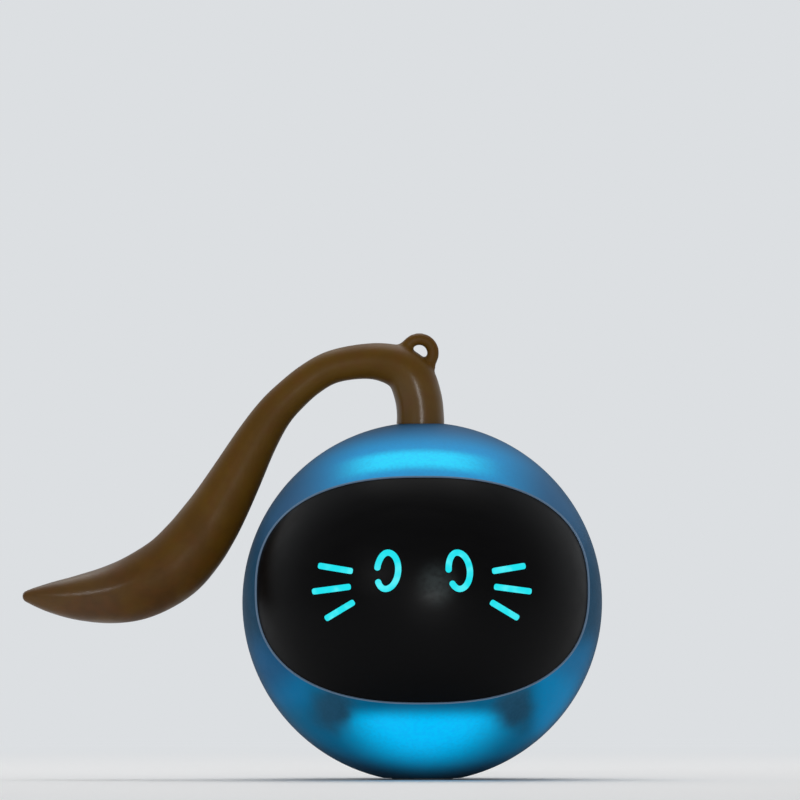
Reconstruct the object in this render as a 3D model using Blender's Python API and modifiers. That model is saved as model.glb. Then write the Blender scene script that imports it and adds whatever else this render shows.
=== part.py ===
"""A self-rolling cat ball with a plug-in tail, as it comes apart on a bench.

The ball is two translucent half shells with a black visor let into the front one. Inside, a geared
motor carries a steel weight round an upright axle, which makes the round-bottomed ball lean and roll
in circles. The face marks are light guides pushed through slots in the visor. The soft tail pulls
off a stem that turns in a collar at the top of the ball.

Heights and depths are measured from the ball's centre, +Y points to the back and +Z up. The finished
part stands on its foot pad, whose underside is at Z = 0.
"""

import math

import bmesh
import bpy
from mathutils import Matrix, Vector

mm = 0.001

# Fits
TOUCH_GAP = 0.3 * mm
RUNNING_GAP = 0.15 * mm
CUT_OVERRUN = 2 * mm

# Ball and its two half shells
BALL_RADIUS = 37 * mm
SHELL_WALL = 1.8 * mm
SEAM_GAP = 0.2 * mm
TONGUE_WALL = 0.75 * mm
SHELL_STEPS = 36
SHELL_ARC_STEPS = 8
INNER_ARC_STEPS = 6
POST_SIDES = 12
HOLE_SIDES = 8
FOOT_RADIUS = 6.4 * mm
FOOT_THICKNESS = 1.3 * mm
FOOT_CHAMFER = 0.25 * mm
FOOT_STAND_OFF = 0.3 * mm
FLOOR_RADIUS = 8.6 * mm
FLOOR_HEIGHT = 2.2 * mm
FOOT_DEPTH = math.sqrt(BALL_RADIUS**2 - FOOT_RADIUS**2)
FLOOR_TOP_Z = -FOOT_DEPTH + FLOOR_HEIGHT + FOOT_STAND_OFF

# Screw posts that join the shells, and the frame ears clamped between them
UPPER_POST_INSET = 3.9 * mm
UPPER_POST_BEARING = math.radians(51.75)
UPPER_POST_X = (BALL_RADIUS - UPPER_POST_INSET) * math.cos(UPPER_POST_BEARING)
UPPER_POST_Z = (BALL_RADIUS - UPPER_POST_INSET) * math.sin(UPPER_POST_BEARING)
LOWER_POST_RADIUS = 3.2 * mm
UPPER_POST_RADIUS = 2.8 * mm
EAR_THICKNESS = 2 * mm
SCREW_RADIUS = 0.9 * mm
SCREW_HEAD_RADIUS = 1.8 * mm
SCREW_HEAD_HEIGHT = 1.2 * mm
CROWN_SHARE = 0.7
SCREW_STEPS = 8
SCREW_HOLE_RADIUS = SCREW_RADIUS + RUNNING_GAP
SCREW_WELL_RADIUS = SCREW_HEAD_RADIUS + 2 * RUNNING_GAP
SHELL_SCREW_SEAT = 6.5 * mm
SHELL_SCREW_REACH = 8 * mm

# Visor, whose outline is a superellipse seen from the front
VISOR_SIDE_MARGIN = 2.8 * mm
VISOR_HALF_WIDTH = BALL_RADIUS - VISOR_SIDE_MARGIN
VISOR_HALF_HEIGHT = 23.2 * mm
VISOR_CENTRE_Z = 2.5 * mm
VISOR_SQUARENESS = 2.45
VISOR_INSET = 0.3 * mm
VISOR_EDGE_GAP = 0.2 * mm
VISOR_THICKNESS = 3 * mm
VISOR_FLANGE_WIDTH = 2 * mm
VISOR_REAR_Y = -5.5 * mm
VISOR_OUTLINE_POINTS = 40
VISOR_OUTER_RADIUS = BALL_RADIUS - VISOR_INSET
VISOR_INNER_RADIUS = VISOR_OUTER_RADIUS - VISOR_THICKNESS
VISOR_FLANGE_RADIUS = BALL_RADIUS - SHELL_WALL - TOUCH_GAP

# Face marks: two open rings for eyes, three whiskers a side
STROKE_WIDTH = 1.3 * mm
SLOT_GAP = 0.1 * mm
EYE_X = 7.3 * mm
EYE_Z = 6.4 * mm
EYE_HALF_WIDTH = 2.3 * mm
EYE_HALF_HEIGHT = 3.95 * mm
EYE_START_DEG = 178
EYE_END_DEG = -142
EYE_LEAN_DEG = 6
EYE_STEPS = 12
WHISKER_INNER_X = (14.8 * mm, 15.2 * mm, 14.4 * mm)
WHISKER_INNER_Z = (6.3 * mm, 3.0 * mm, -0.3 * mm)
WHISKER_LENGTH = (6.4 * mm, 7.3 * mm, 6.2 * mm)
WHISKER_SLOPE_DEG = (11, -7, -33)
CAP_STEPS = 3
LENS_PLATE_THICKNESS = 1 * mm
EYE_PLATE_HALF_WIDTH = 3.9 * mm
EYE_PLATE_HALF_HEIGHT = 5.6 * mm
WHISKER_PLATE_INNER_X = 12.6 * mm
WHISKER_PLATE_OUTER_X = 23.2 * mm
WHISKER_PLATE_BOTTOM_Z = -5 * mm
WHISKER_PLATE_TOP_Z = 9 * mm
PLATE_CORNER = 1 * mm
LENS_OUTER_RADIUS = VISOR_INNER_RADIUS - TOUCH_GAP
LENS_INNER_RADIUS = LENS_OUTER_RADIUS - LENS_PLATE_THICKNESS

# Light box and face board behind the visor
LIGHT_BOX_SET_BACK = 15.5 * mm
LIGHT_BOX_BACK_Y = -(BALL_RADIUS - LIGHT_BOX_SET_BACK)
LIGHT_BOX_HALF_WIDTH = 24 * mm
LIGHT_BOX_BOTTOM_Z = -6.4 * mm
LIGHT_BOX_TOP_Z = 13.6 * mm
CHAMBER_MARGIN = 0.9 * mm
FACE_BOARD_THICKNESS = 1.2 * mm
FACE_BOARD_HALF_WIDTH = 21.5 * mm
FACE_BOARD_CORNER = 2.5 * mm
FACE_BOSS_RADIUS = 2.2 * mm
FACE_BOSS_UPPER_Z = 11 * mm
FACE_BOSS_LOWER_Z = -3.4 * mm
FACE_SCREW_REACH = 7 * mm
LED_WIDTH = 2.8 * mm
LED_HEIGHT = 1.8 * mm
LED_DEPTH = 0.9 * mm
LIGHT_BOX_FRONT_RADIUS = LENS_INNER_RADIUS - TOUCH_GAP

# Bottom weight and battery
BALLAST_HEIGHT = 5.1 * mm
BALLAST_TOP_Z = FLOOR_TOP_Z + TOUCH_GAP + BALLAST_HEIGHT
BALLAST_GAP = 0.75 * mm
BALLAST_ARC_STEPS = 5
BATTERY_HALF_LENGTH = 14 * mm
BATTERY_HALF_DEPTH = 10 * mm
BATTERY_HEIGHT = 8 * mm
BATTERY_CORNER = 1.2 * mm
BATTERY_TOP_Z = BALLAST_TOP_Z + TOUCH_GAP + BATTERY_HEIGHT

# Lower frame: plate, pillars, ears and legs
BATTERY_CLEARANCE = 1.2 * mm
LOWER_PLATE_BOTTOM_Z = BATTERY_TOP_Z + BATTERY_CLEARANCE
LOWER_PLATE_THICKNESS = 1.7 * mm
LOWER_PLATE_SHELL_GAP = 2.32 * mm
LOWER_PLATE_REACH = BALL_RADIUS - SHELL_WALL - LOWER_PLATE_SHELL_GAP
LOWER_PLATE_RADIUS = math.sqrt(LOWER_PLATE_REACH**2 - LOWER_PLATE_BOTTOM_Z**2)
LOWER_POST_DROP = 0.25 * mm
LOWER_POST_INSET = 7.55 * mm
LOWER_POST_Z = LOWER_PLATE_BOTTOM_Z - LOWER_POST_DROP - LOWER_POST_RADIUS
LOWER_POST_X = math.sqrt((BALL_RADIUS - LOWER_POST_INSET) ** 2 - LOWER_POST_Z**2)
LOWER_PLATE_MARGIN = 0.9 * mm
LOWER_PLATE_FRONT_Y = -17.5 * mm
LOWER_PLATE_REAR_Y = 17 * mm
PILLAR_RADIUS = 1.9 * mm
PILLAR_BEARING = math.radians(28)
PILLAR_DISTANCE = LOWER_PLATE_RADIUS - LOWER_PLATE_MARGIN
PILLAR_X = PILLAR_DISTANCE * math.cos(PILLAR_BEARING)
PILLAR_Y = PILLAR_DISTANCE * math.sin(PILLAR_BEARING)
LEG_X = 12 * mm
LEG_Y = 12.6 * mm
LEG_RADIUS = 1.5 * mm
LOWER_RIB_X = 6 * mm
LOWER_RIB_WIDTH = 1.4 * mm
LOWER_RIB_DEPTH = 1.6 * mm
LOWER_RIB_FRONT_Y = -12.4 * mm

# Rotor: eccentric weight, gear and shaft on the ball's upright axis
ROTOR_SHAFT_RADIUS = 1.25 * mm
BUSHING_RADIUS = 2.5 * mm
BUSHING_FLANGE_RADIUS = 3.7 * mm
BUSHING_FLANGE_THICKNESS = 0.5 * mm
WEIGHT_CLEARANCE = 1.4 * mm
WEIGHT_RADIUS = PILLAR_DISTANCE - PILLAR_RADIUS - WEIGHT_CLEARANCE
WEIGHT_HALF_ANGLE_DEG = 80
WEIGHT_HUB_RADIUS = 4 * mm
WEIGHT_BOTTOM_Z = (
    LOWER_PLATE_BOTTOM_Z + LOWER_PLATE_THICKNESS + BUSHING_FLANGE_THICKNESS + 2 * TOUCH_GAP
)
WEIGHT_THICKNESS = 5.6 * mm
WEIGHT_ARC_STEPS = 16
ROTOR_GEAR_HUB_RADIUS = 4 * mm
ROTOR_GEAR_HUB_HEIGHT = 1.4 * mm
ROTOR_GEAR_BOTTOM_Z = WEIGHT_BOTTOM_Z + WEIGHT_THICKNESS + TOUCH_GAP + ROTOR_GEAR_HUB_HEIGHT
CLIP_RADIUS = 2.4 * mm
CLIP_THICKNESS = 0.8 * mm

# Gear train
COARSE_MODULE = 0.8 * mm
FINE_MODULE = 0.65 * mm
ROTOR_GEAR_TEETH = 30
IDLER_PINION_TEETH = 10
IDLER_WHEEL_TEETH = 24
MOTOR_PINION_TEETH = 10
GEAR_THICKNESS = 2 * mm
PRESSURE_ANGLE = math.radians(20)
TOOTH_THICKNESS_SHARE = 0.44
ADDENDUM_SHARE = 0.8
DEDENDUM_SHARE = 1.1
IDLER_X = COARSE_MODULE * (ROTOR_GEAR_TEETH + IDLER_PINION_TEETH) / 2
MOTOR_DISTANCE = FINE_MODULE * (IDLER_WHEEL_TEETH + MOTOR_PINION_TEETH) / 2
MOTOR_BEARING_DEG = 145
MOTOR_X = IDLER_X + MOTOR_DISTANCE * math.cos(math.radians(MOTOR_BEARING_DEG))
MOTOR_Y = MOTOR_DISTANCE * math.sin(math.radians(MOTOR_BEARING_DEG))
IDLER_AXLE_RADIUS = 1 * mm
IDLER_AXLE_HEAD_RADIUS = 1.7 * mm
IDLER_AXLE_HEAD_HEIGHT = 0.8 * mm
FINE_GEAR_BOTTOM_Z = ROTOR_GEAR_BOTTOM_Z + GEAR_THICKNESS + TOUCH_GAP

# Motor plate and motor
MOTOR_PLATE_BOTTOM_Z = FINE_GEAR_BOTTOM_Z + GEAR_THICKNESS + TOUCH_GAP
MOTOR_PLATE_THICKNESS = 2 * mm
MOTOR_PLATE_MARGIN = 2.5 * mm
MOTOR_PLATE_RADIUS = PILLAR_DISTANCE + MOTOR_PLATE_MARGIN
MOTOR_PLATE_FRONT_Y = -17.5 * mm
MOTOR_PLATE_REAR_Y = 21 * mm
MOTOR_RADIUS = 7.7 * mm
MOTOR_HALF_FLAT = 6 * mm
MOTOR_LENGTH = 18 * mm
MOTOR_NOSE_RADIUS = 3 * mm
MOTOR_NOSE_LENGTH = 1.4 * mm
MOTOR_SHAFT_RADIUS = 0.75 * mm
MOTOR_SHAFT_ENTRY = 5 * mm
MOTOR_CAP_THICKNESS = 2 * mm
MOTOR_CAP_INSET = 0.5 * mm
SOCKET_WALL = 1.2 * mm
SOCKET_HEIGHT = 5 * mm
MOTOR_ARC_STEPS = 6
MOTOR_BOTTOM_Z = MOTOR_PLATE_BOTTOM_Z + MOTOR_PLATE_THICKNESS + TOUCH_GAP
MOTOR_CAP_TOP_Z = MOTOR_BOTTOM_Z + MOTOR_LENGTH + TOUCH_GAP + MOTOR_CAP_THICKNESS

# Top deck, which holds the motor down and the tail collar up
TOP_DECK_THICKNESS = 1.6 * mm
TOP_DECK_MARGIN = 1 * mm
TOP_DECK_RADIUS = UPPER_POST_X + TOP_DECK_MARGIN
TOP_DECK_FRONT_Y = -13 * mm
TOP_DECK_REAR_Y = 15.5 * mm
TOP_EAR_HALF_WIDTH = 2.4 * mm
COLUMN_RADIUS = 5.6 * mm
COLUMN_BORE_RADIUS = 4 * mm
KEEPER_DROP = 3 * mm
KEEPER_FRONT = -1 * mm
KEEPER_REAR = 5 * mm
TOP_DECK_BOTTOM_Z = MOTOR_CAP_TOP_Z + TOUCH_GAP
TOP_DECK_TOP_Z = TOP_DECK_BOTTOM_Z + TOP_DECK_THICKNESS

# Boards whose LEDs light the shell, one above the visor and one below it
GLOW_BOARD_THICKNESS = 1 * mm
UPPER_GLOW_HALF_WIDTH = 11 * mm
UPPER_GLOW_HEIGHT = 5 * mm
LOWER_GLOW_HALF_WIDTH = 10 * mm
LOWER_GLOW_HEIGHT = 6.4 * mm
UPPER_RIB_X = 8 * mm
UPPER_RIB_FRONT_Y = TOP_DECK_FRONT_Y - 0.5 * mm
UPPER_RIB_WIDTH = 1.4 * mm
UPPER_RIB_DEPTH = 3 * mm
UPPER_RIB_HEIGHT = 4 * mm
GLOW_LED_WIDTH = 5 * mm
GLOW_LED_HEIGHT = 3 * mm
GLOW_LED_DEPTH = 1.2 * mm

# Control board at the back, with the charging port, the power button and the motion sensor
CONTROL_BOARD_FRONT_Y = WEIGHT_RADIUS + WEIGHT_CLEARANCE
CONTROL_BOARD_THICKNESS = 1.2 * mm
CONTROL_BOARD_HALF_WIDTH = 12.2 * mm
CONTROL_BOARD_BOTTOM_Z = -12 * mm
CONTROL_BOARD_TOP_Z = 14 * mm
CONTROL_BOARD_CORNER = 1.5 * mm
BOARD_POST_X = 9.6 * mm
BOARD_POST_Z = 1 * mm
BOARD_POST_RADIUS = 2.1 * mm
BOARD_SCREW_REACH = 6 * mm
PORT_Z = -6 * mm
PORT_HALF_WIDTH = 4.5 * mm
PORT_HALF_HEIGHT = 1.65 * mm
PORT_LENGTH = 7.4 * mm
PORT_WALL = 0.35 * mm
PORT_TONGUE_HALF_WIDTH = 3.3 * mm
PORT_TONGUE_HALF_HEIGHT = 0.4 * mm
PORT_CAVITY_DEPTH = 5.4 * mm
PORT_TONGUE_SET_BACK = 0.8 * mm
PORT_WINDOW_HALF_WIDTH = 6.3 * mm
PORT_WINDOW_HALF_HEIGHT = 3.5 * mm
PORT_CORNER_POINTS = 4
CORNER_SHARE = 0.95
BUTTON_Z = 8 * mm
BUTTON_RADIUS = 4 * mm
BUTTON_EDGE_GAP = 0.25 * mm
BUTTON_FLANGE_RADIUS = 5.2 * mm
BUTTON_FLANGE_THICKNESS = 1 * mm
BUTTON_STEM_RADIUS = 1.8 * mm
BUTTON_PROUD = 0.5 * mm
BUTTON_TRAVEL = 0.6 * mm
SWITCH_HALF_SIDE = 3.1 * mm
SWITCH_DEPTH = 3.2 * mm
PLUNGER_RADIUS = 1.7 * mm
PLUNGER_PROUD = 1 * mm
PLUNGER_ROOT = 1.6 * mm
SENSOR_RADIUS = 2.3 * mm
SENSOR_HALF_LENGTH = 4.5 * mm
SENSOR_Z = 10 * mm
CONTROL_BOARD_BACK_Y = CONTROL_BOARD_FRONT_Y + CONTROL_BOARD_THICKNESS

# Battery leads
LEAD_RADIUS = 0.5 * mm
LEAD_SPACING = 1.6 * mm
LEAD_BEND = 4 * mm

# Tail, its collar and the stem that it is pushed on to
COLLAR_NECK_RADIUS = 4.4 * mm
COLLAR_BORE_RADIUS = 2.6 * mm
COLLAR_FLANGE_RADIUS = 6.6 * mm
COLLAR_FLANGE_THICKNESS = 1.5 * mm
COLLAR_RECESS = 0.6 * mm
COLLAR_TOP_Z = BALL_RADIUS - COLLAR_RECESS
COLLAR_FLANGE_DROP = 1 * mm
COLLAR_FLANGE_TOP_Z = BALL_RADIUS - SHELL_WALL - COLLAR_FLANGE_DROP
STEM_RADIUS = COLLAR_BORE_RADIUS - TOUCH_GAP
STEM_SHOULDER_RADIUS = 2.95 * mm
STEM_SHOULDER_THICKNESS = 0.9 * mm
STEM_SNAP_RADIUS = 3.2 * mm
STEM_SNAP_HEIGHT = 1.5 * mm
STEM_LENGTH = 5.2 * mm
STEM_TOP_Z = BALL_RADIUS + STEM_LENGTH
STEM_BARB_RADIUS = 2.5 * mm
STEM_BARB_HEIGHT = 1.6 * mm
STEM_TAPER_SHARE = 0.8
STEM_TIP_SHARE = 0.6
TAIL_LIFT = 0.1 * mm
TAIL_BASE_Z = BALL_RADIUS + TAIL_LIFT
TAIL_OVERHANG = 45.4 * mm
TAIL_REACH = BALL_RADIUS + TAIL_OVERHANG
TAIL_ARCH = 11.8 * mm
TAIL_HEIGHT = BALL_RADIUS + TAIL_ARCH
TAIL_GIRTH = 7.0 * mm
TAIL_WALL = 1.7 * mm
TAIL_SIDES_RESOLUTION = 4
TAIL_BORE_RESOLUTION = 2
TAIL_STEPS_PER_SPAN = 2
BORE_STEPS_PER_SPAN = 1
LOOP_X = -0.55 * mm
LOOP_RISE = 14.4 * mm
LOOP_RADIUS = 2.85 * mm
LOOP_WIRE_RADIUS = 1.25 * mm
LOOP_STEPS = 20
LOOP_SIDES = 8

# How far out, how high above its base and how thick the tail is at each station along its centreline,
# as shares of TAIL_REACH, TAIL_HEIGHT and TAIL_GIRTH
TAIL_SHARES = (
    (0.000, 0.000, 0.71),
    (0.001, 0.030, 0.705),
    (0.008, 0.101, 0.70),
    (0.028, 0.190, 0.69),
    (0.062, 0.242, 0.63),
    (0.130, 0.264, 0.53),
    (0.218, 0.240, 0.50),
    (0.280, 0.185, 0.49),
    (0.337, 0.101, 0.50),
    (0.377, 0.025, 0.54),
    (0.419, -0.087, 0.62),
    (0.463, -0.227, 0.74),
    (0.503, -0.348, 0.83),
    (0.536, -0.435, 0.88),
    (0.576, -0.524, 0.94),
    (0.628, -0.610, 0.99),
    (0.703, -0.686, 0.97),
    (0.774, -0.728, 0.87),
    (0.853, -0.743, 0.685),
    (0.920, -0.741, 0.47),
    (0.968, -0.737, 0.265),
    (0.990, -0.735, 0.17),
    (0.998, -0.734, 0.09),
)
HOLLOW_STATIONS = 18

# Blender's curve fill merges points that are closer than about 0.01 mm, so outlines are filled large
FILL_SCALE = 1000
WELD = 0.001 * mm

TURN_TO = {
    "X": Matrix.Rotation(math.radians(90), 4, "Y"),
    "Y": Matrix.Rotation(math.radians(90), 4, "X"),
    "Z": Matrix.Identity(4),
}


# Scene, collections and materials


def clear_scene():
    for obj in list(bpy.data.objects):
        bpy.data.objects.remove(obj)


def new_collection(name):
    collection = bpy.data.collections.new(name)
    bpy.context.scene.collection.children.link(collection)
    return collection


def material(name, colour, roughness, metallic=0.0):
    made = bpy.data.materials.new(name)
    made.use_nodes = True
    shader = made.node_tree.nodes["Principled BSDF"]
    shader.inputs["Base Color"].default_value = (*colour, 1.0)
    shader.inputs["Roughness"].default_value = roughness
    shader.inputs["Metallic"].default_value = metallic
    made.diffuse_color = (*colour, 1.0)
    return made


clear_scene()
PARTS = new_collection("self_rolling_cat_ball")
CUTTERS = new_collection("cutters")

MILKY_SHELL = material("milky_shell", (0.10, 0.46, 0.72), 0.35)
BLACK_VISOR = material("black_visor", (0.012, 0.012, 0.014), 0.12)
FACE_LIGHT = material("face_light", (0.10, 0.85, 0.92), 0.3)
TAIL_RUBBER = material("tail_rubber", (0.20, 0.11, 0.045), 0.4)
FOOT_RUBBER = material("foot_rubber", (0.55, 0.57, 0.6), 0.7)
WHITE_PLASTIC = material("white_plastic", (0.8, 0.8, 0.78), 0.5)
GREY_PLASTIC = material("grey_plastic", (0.35, 0.36, 0.38), 0.5)
GEAR_PLASTIC = material("gear_plastic", (0.85, 0.83, 0.75), 0.45)
CIRCUIT_BOARD = material("circuit_board", (0.02, 0.16, 0.07), 0.45)
LED_PACKAGE = material("led_package", (0.9, 0.9, 0.8), 0.4)
STEEL = material("steel", (0.55, 0.55, 0.56), 0.3, 1.0)
BRASS = material("brass", (0.78, 0.58, 0.25), 0.3, 1.0)
BATTERY_WRAP = material("battery_wrap", (0.25, 0.30, 0.36), 0.45)
BLACK_PLASTIC = material("black_plastic", (0.03, 0.03, 0.03), 0.5)
RED_LEAD = material("red_lead", (0.6, 0.02, 0.02), 0.45)
BLACK_LEAD = material("black_lead", (0.02, 0.02, 0.02), 0.45)


# Placing: every piece hangs on an empty, and a moving piece's empty lies on its joint's axis


def new_empty(name, place, parent=None):
    empty = bpy.data.objects.new(name, None)
    PARTS.objects.link(empty)
    empty.parent = parent
    empty.location = place
    return empty


BALL_CENTRE = new_empty("ball_centre", (0, 0, FOOT_DEPTH))
ROTOR_AXIS = new_empty("rotor_axis", (0, 0, 0), BALL_CENTRE)
IDLER_AXIS = new_empty("idler_axis", (IDLER_X, 0, 0), BALL_CENTRE)
MOTOR_AXIS = new_empty("motor_axis", (MOTOR_X, MOTOR_Y, 0), BALL_CENTRE)
BUTTON_AXIS = new_empty("button_axis", (0, 0, BUTTON_Z), BALL_CENTRE)
TAIL_AXIS = new_empty("tail_axis", (0, 0, TAIL_BASE_Z), BALL_CENTRE)


def piece(name, mesh, finish, parent=BALL_CENTRE, sharp_deg=30):
    """A finished sub-part."""
    obj = bpy.data.objects.new(name, mesh)
    PARTS.objects.link(obj)
    obj.parent = parent
    mesh.name = name
    mesh.materials.clear()
    mesh.materials.append(finish)
    mesh.shade_smooth()
    mesh.set_sharp_from_angle(angle=math.radians(sharp_deg))
    return obj


def tool(name, mesh, parent=BALL_CENTRE):
    """A shape that cuts, joins or trims a sub-part, and isn't one itself."""
    obj = bpy.data.objects.new(name, mesh)
    CUTTERS.objects.link(obj)
    obj.parent = parent
    obj.hide_render = True
    obj.display_type = "WIRE"
    return obj


def shape_with(target, other, operation):
    modifier = target.modifiers.new(f"{operation.lower()}_{other.name}", "BOOLEAN")
    modifier.operation = operation
    modifier.object = other
    modifier.solver = "EXACT"
    return target


def cut(target, *others):
    for other in others:
        shape_with(target, other, "DIFFERENCE")
    return target


def join(target, *others):
    for other in others:
        shape_with(target, other, "UNION")
    return target


def keep_inside(target, other):
    return shape_with(target, other, "INTERSECT")


# Meshes


def evaluated_mesh(obj):
    """The object's mesh with its modifiers or its curve's bevel applied, welded and facing out."""
    bpy.context.view_layer.update()
    graph = bpy.context.evaluated_depsgraph_get()
    mesh = bpy.data.meshes.new_from_object(obj.evaluated_get(graph))
    data = obj.data
    bpy.data.objects.remove(obj)
    if isinstance(data, bpy.types.Curve):
        bpy.data.curves.remove(data)
    shape = bmesh.new()
    shape.from_mesh(mesh)
    bmesh.ops.remove_doubles(shape, verts=shape.verts, dist=WELD)
    bmesh.ops.recalc_face_normals(shape, faces=shape.faces)
    shape.to_mesh(mesh)
    shape.free()
    return mesh


def to_mesh(shape, name):
    mesh = bpy.data.meshes.new(name)
    shape.to_mesh(mesh)
    shape.free()
    return mesh


def placed(mesh, axis, at, along=0.0):
    """Turns a mesh made about Z to lie along an axis. at is its place in the two other directions."""
    mesh.transform(TURN_TO[axis])
    place = {
        "X": (along, at[0], at[1]),
        "Y": (at[0], along, at[1]),
        "Z": (at[0], at[1], along),
    }
    mesh.transform(Matrix.Translation(place[axis]))
    return mesh


def bar(radius, low, high, at=(0, 0), axis="Z", sides=20):
    """A round bar between two places along an axis."""
    shape = bmesh.new()
    bmesh.ops.create_cone(
        shape, cap_ends=True, segments=sides, radius1=radius, radius2=radius, depth=high - low
    )
    return placed(to_mesh(shape, "bar"), axis, at, (low + high) / 2)


def post(radius, ends, at):
    """A round post that lies along Y."""
    return bar(radius, min(ends), max(ends), at, "Y", POST_SIDES)


def screw_hole(ends, at, axis="Y"):
    return bar(SCREW_HOLE_RADIUS, min(ends), max(ends), at, axis, HOLE_SIDES)


def block(low, high, edge=0.0):
    """A box between two corners, its edges rounded where edge is given."""
    shape = bmesh.new()
    bmesh.ops.create_cube(shape, size=1)
    low, high = Vector(low), Vector(high)
    bmesh.ops.scale(shape, verts=shape.verts, vec=high - low)
    bmesh.ops.translate(shape, verts=shape.verts, vec=(low + high) / 2)
    if edge:
        bmesh.ops.bevel(
            shape, geom=shape.edges, offset=edge, segments=2, profile=0.5, affect="EDGES", material=-1
        )
    return to_mesh(shape, "block")


def prism(outlines, low, high, axis="Z"):
    """Flat outlines, of which one inside another is a hole, made solid between two places along an axis."""
    curve = bpy.data.curves.new("outline", "CURVE")
    curve.dimensions = "2D"
    curve.fill_mode = "BOTH"
    curve.extrude = (high - low) / 2 * FILL_SCALE
    for outline in outlines:
        spline = curve.splines.new("POLY")
        spline.points.add(len(outline) - 1)
        for point, (across, up) in zip(spline.points, outline):
            point.co = (across * FILL_SCALE, up * FILL_SCALE, 0, 1)
        spline.use_cyclic_u = True
    obj = bpy.data.objects.new("outline", curve)
    obj.scale = (1 / FILL_SCALE,) * 3
    bpy.context.scene.collection.objects.link(obj)
    mesh = unscaled_mesh(obj)
    return placed(mesh, axis, (0, 0), (low + high) / 2)


def unscaled_mesh(obj):
    """As evaluated_mesh, for an outline that was filled large."""
    bpy.context.view_layer.update()
    graph = bpy.context.evaluated_depsgraph_get()
    mesh = bpy.data.meshes.new_from_object(obj.evaluated_get(graph))
    mesh.transform(Matrix.Scale(1 / FILL_SCALE, 4))
    curve = obj.data
    bpy.data.objects.remove(obj)
    bpy.data.curves.remove(curve)
    shape = bmesh.new()
    shape.from_mesh(mesh)
    bmesh.ops.remove_doubles(shape, verts=shape.verts, dist=WELD)
    bmesh.ops.recalc_face_normals(shape, faces=shape.faces)
    shape.to_mesh(mesh)
    shape.free()
    return mesh


def turned(profile, steps, axis="Z", at=(0, 0), closed=False):
    """A profile of (radius, place along the axis) turned once round the axis."""
    mesh = bpy.data.meshes.new("profile")
    edges = [(i, i + 1) for i in range(len(profile) - 1)]
    if closed:
        edges.append((len(profile) - 1, 0))
    mesh.from_pydata([(radius, 0, along) for radius, along in profile], edges, [])
    obj = bpy.data.objects.new("profile", mesh)
    bpy.context.scene.collection.objects.link(obj)
    screw = obj.modifiers.new("turn", "SCREW")
    screw.steps = steps
    screw.render_steps = steps
    screw.use_merge_vertices = True
    screw.merge_threshold = WELD
    return placed(evaluated_mesh(obj), axis, at)


def swept(points, radii, resolution):
    """A round tube along points, of a radius that may change from point to point."""
    curve = bpy.data.curves.new("sweep", "CURVE")
    curve.dimensions = "3D"
    curve.use_fill_caps = True
    curve.bevel_depth = 1
    curve.bevel_resolution = resolution
    spline = curve.splines.new("POLY")
    spline.points.add(len(points) - 1)
    for point, place, radius in zip(spline.points, points, radii):
        point.co = (*place, 1)
        point.radius = radius
    obj = bpy.data.objects.new("sweep", curve)
    bpy.context.scene.collection.objects.link(obj)
    return evaluated_mesh(obj)


# Outlines and curves


def arc(radius, start, end, steps, centre=(0, 0)):
    """Points on a circle, from one angle to another, both included."""
    angles = [start + (end - start) * i / steps for i in range(steps + 1)]
    return [(centre[0] + radius * math.cos(a), centre[1] + radius * math.sin(a)) for a in angles]


def circle(radius, sides=20, centre=(0, 0)):
    return arc(radius, 0, 2 * math.pi, sides, centre)[:-1]


def superellipse(half_width, half_height, centre_up, squareness, points):
    outline = []
    for i in range(points):
        angle = 2 * math.pi * (i + 0.5) / points
        across, up = math.cos(angle), math.sin(angle)
        outline.append(
            (
                half_width * math.copysign(abs(across) ** (2 / squareness), across),
                centre_up + half_height * math.copysign(abs(up) ** (2 / squareness), up),
            )
        )
    return outline


def rounded_rectangle(low, high, corner, steps=2):
    outline = []
    for turn, (across, up) in enumerate(
        (
            (high[0] - corner, high[1] - corner),
            (low[0] + corner, high[1] - corner),
            (low[0] + corner, low[1] + corner),
            (high[0] - corner, low[1] + corner),
        )
    ):
        start = turn * math.pi / 2
        outline += arc(corner, start, start + math.pi / 2, steps, (across, up))
    return outline


def clipped_disc(radius, low, high, steps=10):
    """A disc cut off flat at a front and a rear line."""
    right_low, right_high = math.asin(low / radius), math.asin(high / radius)
    right = arc(radius, right_low, right_high, steps)
    return right + [(-across, up) for across, up in reversed(right)]


def lug_outline(radius, across, up, root):
    """A lug with one round end, drawn from its root to the circle round its hole."""
    turn = math.copysign(math.pi, up - root)
    return arc(radius, 0, turn, 12, (across, up)) + [(across - radius, root), (across + radius, root)]


def stroke(line, width):
    """The outline of a pen stroke with round ends along a line of points."""
    points = [Vector(p) for p in line]
    last = len(points) - 1
    across = []
    for i in range(last + 1):
        along = (points[min(i + 1, last)] - points[max(i - 1, 0)]).normalized()
        across.append(Vector((-along.y, along.x)) * width / 2)
    left = [p + a for p, a in zip(points, across)]
    right = [p - a for p, a in zip(points, across)]
    end_angle = math.atan2(across[last].y, across[last].x)
    start_angle = math.atan2(-across[0].y, -across[0].x)
    end_cap = arc(width / 2, end_angle, end_angle - math.pi, CAP_STEPS, points[last])[1:-1]
    start_cap = arc(width / 2, start_angle, start_angle - math.pi, CAP_STEPS, points[0])[1:-1]
    outline = left + end_cap + list(reversed(right)) + start_cap
    return [(p[0], p[1]) for p in outline]


def involute(angle):
    return math.tan(angle) - angle


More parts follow.
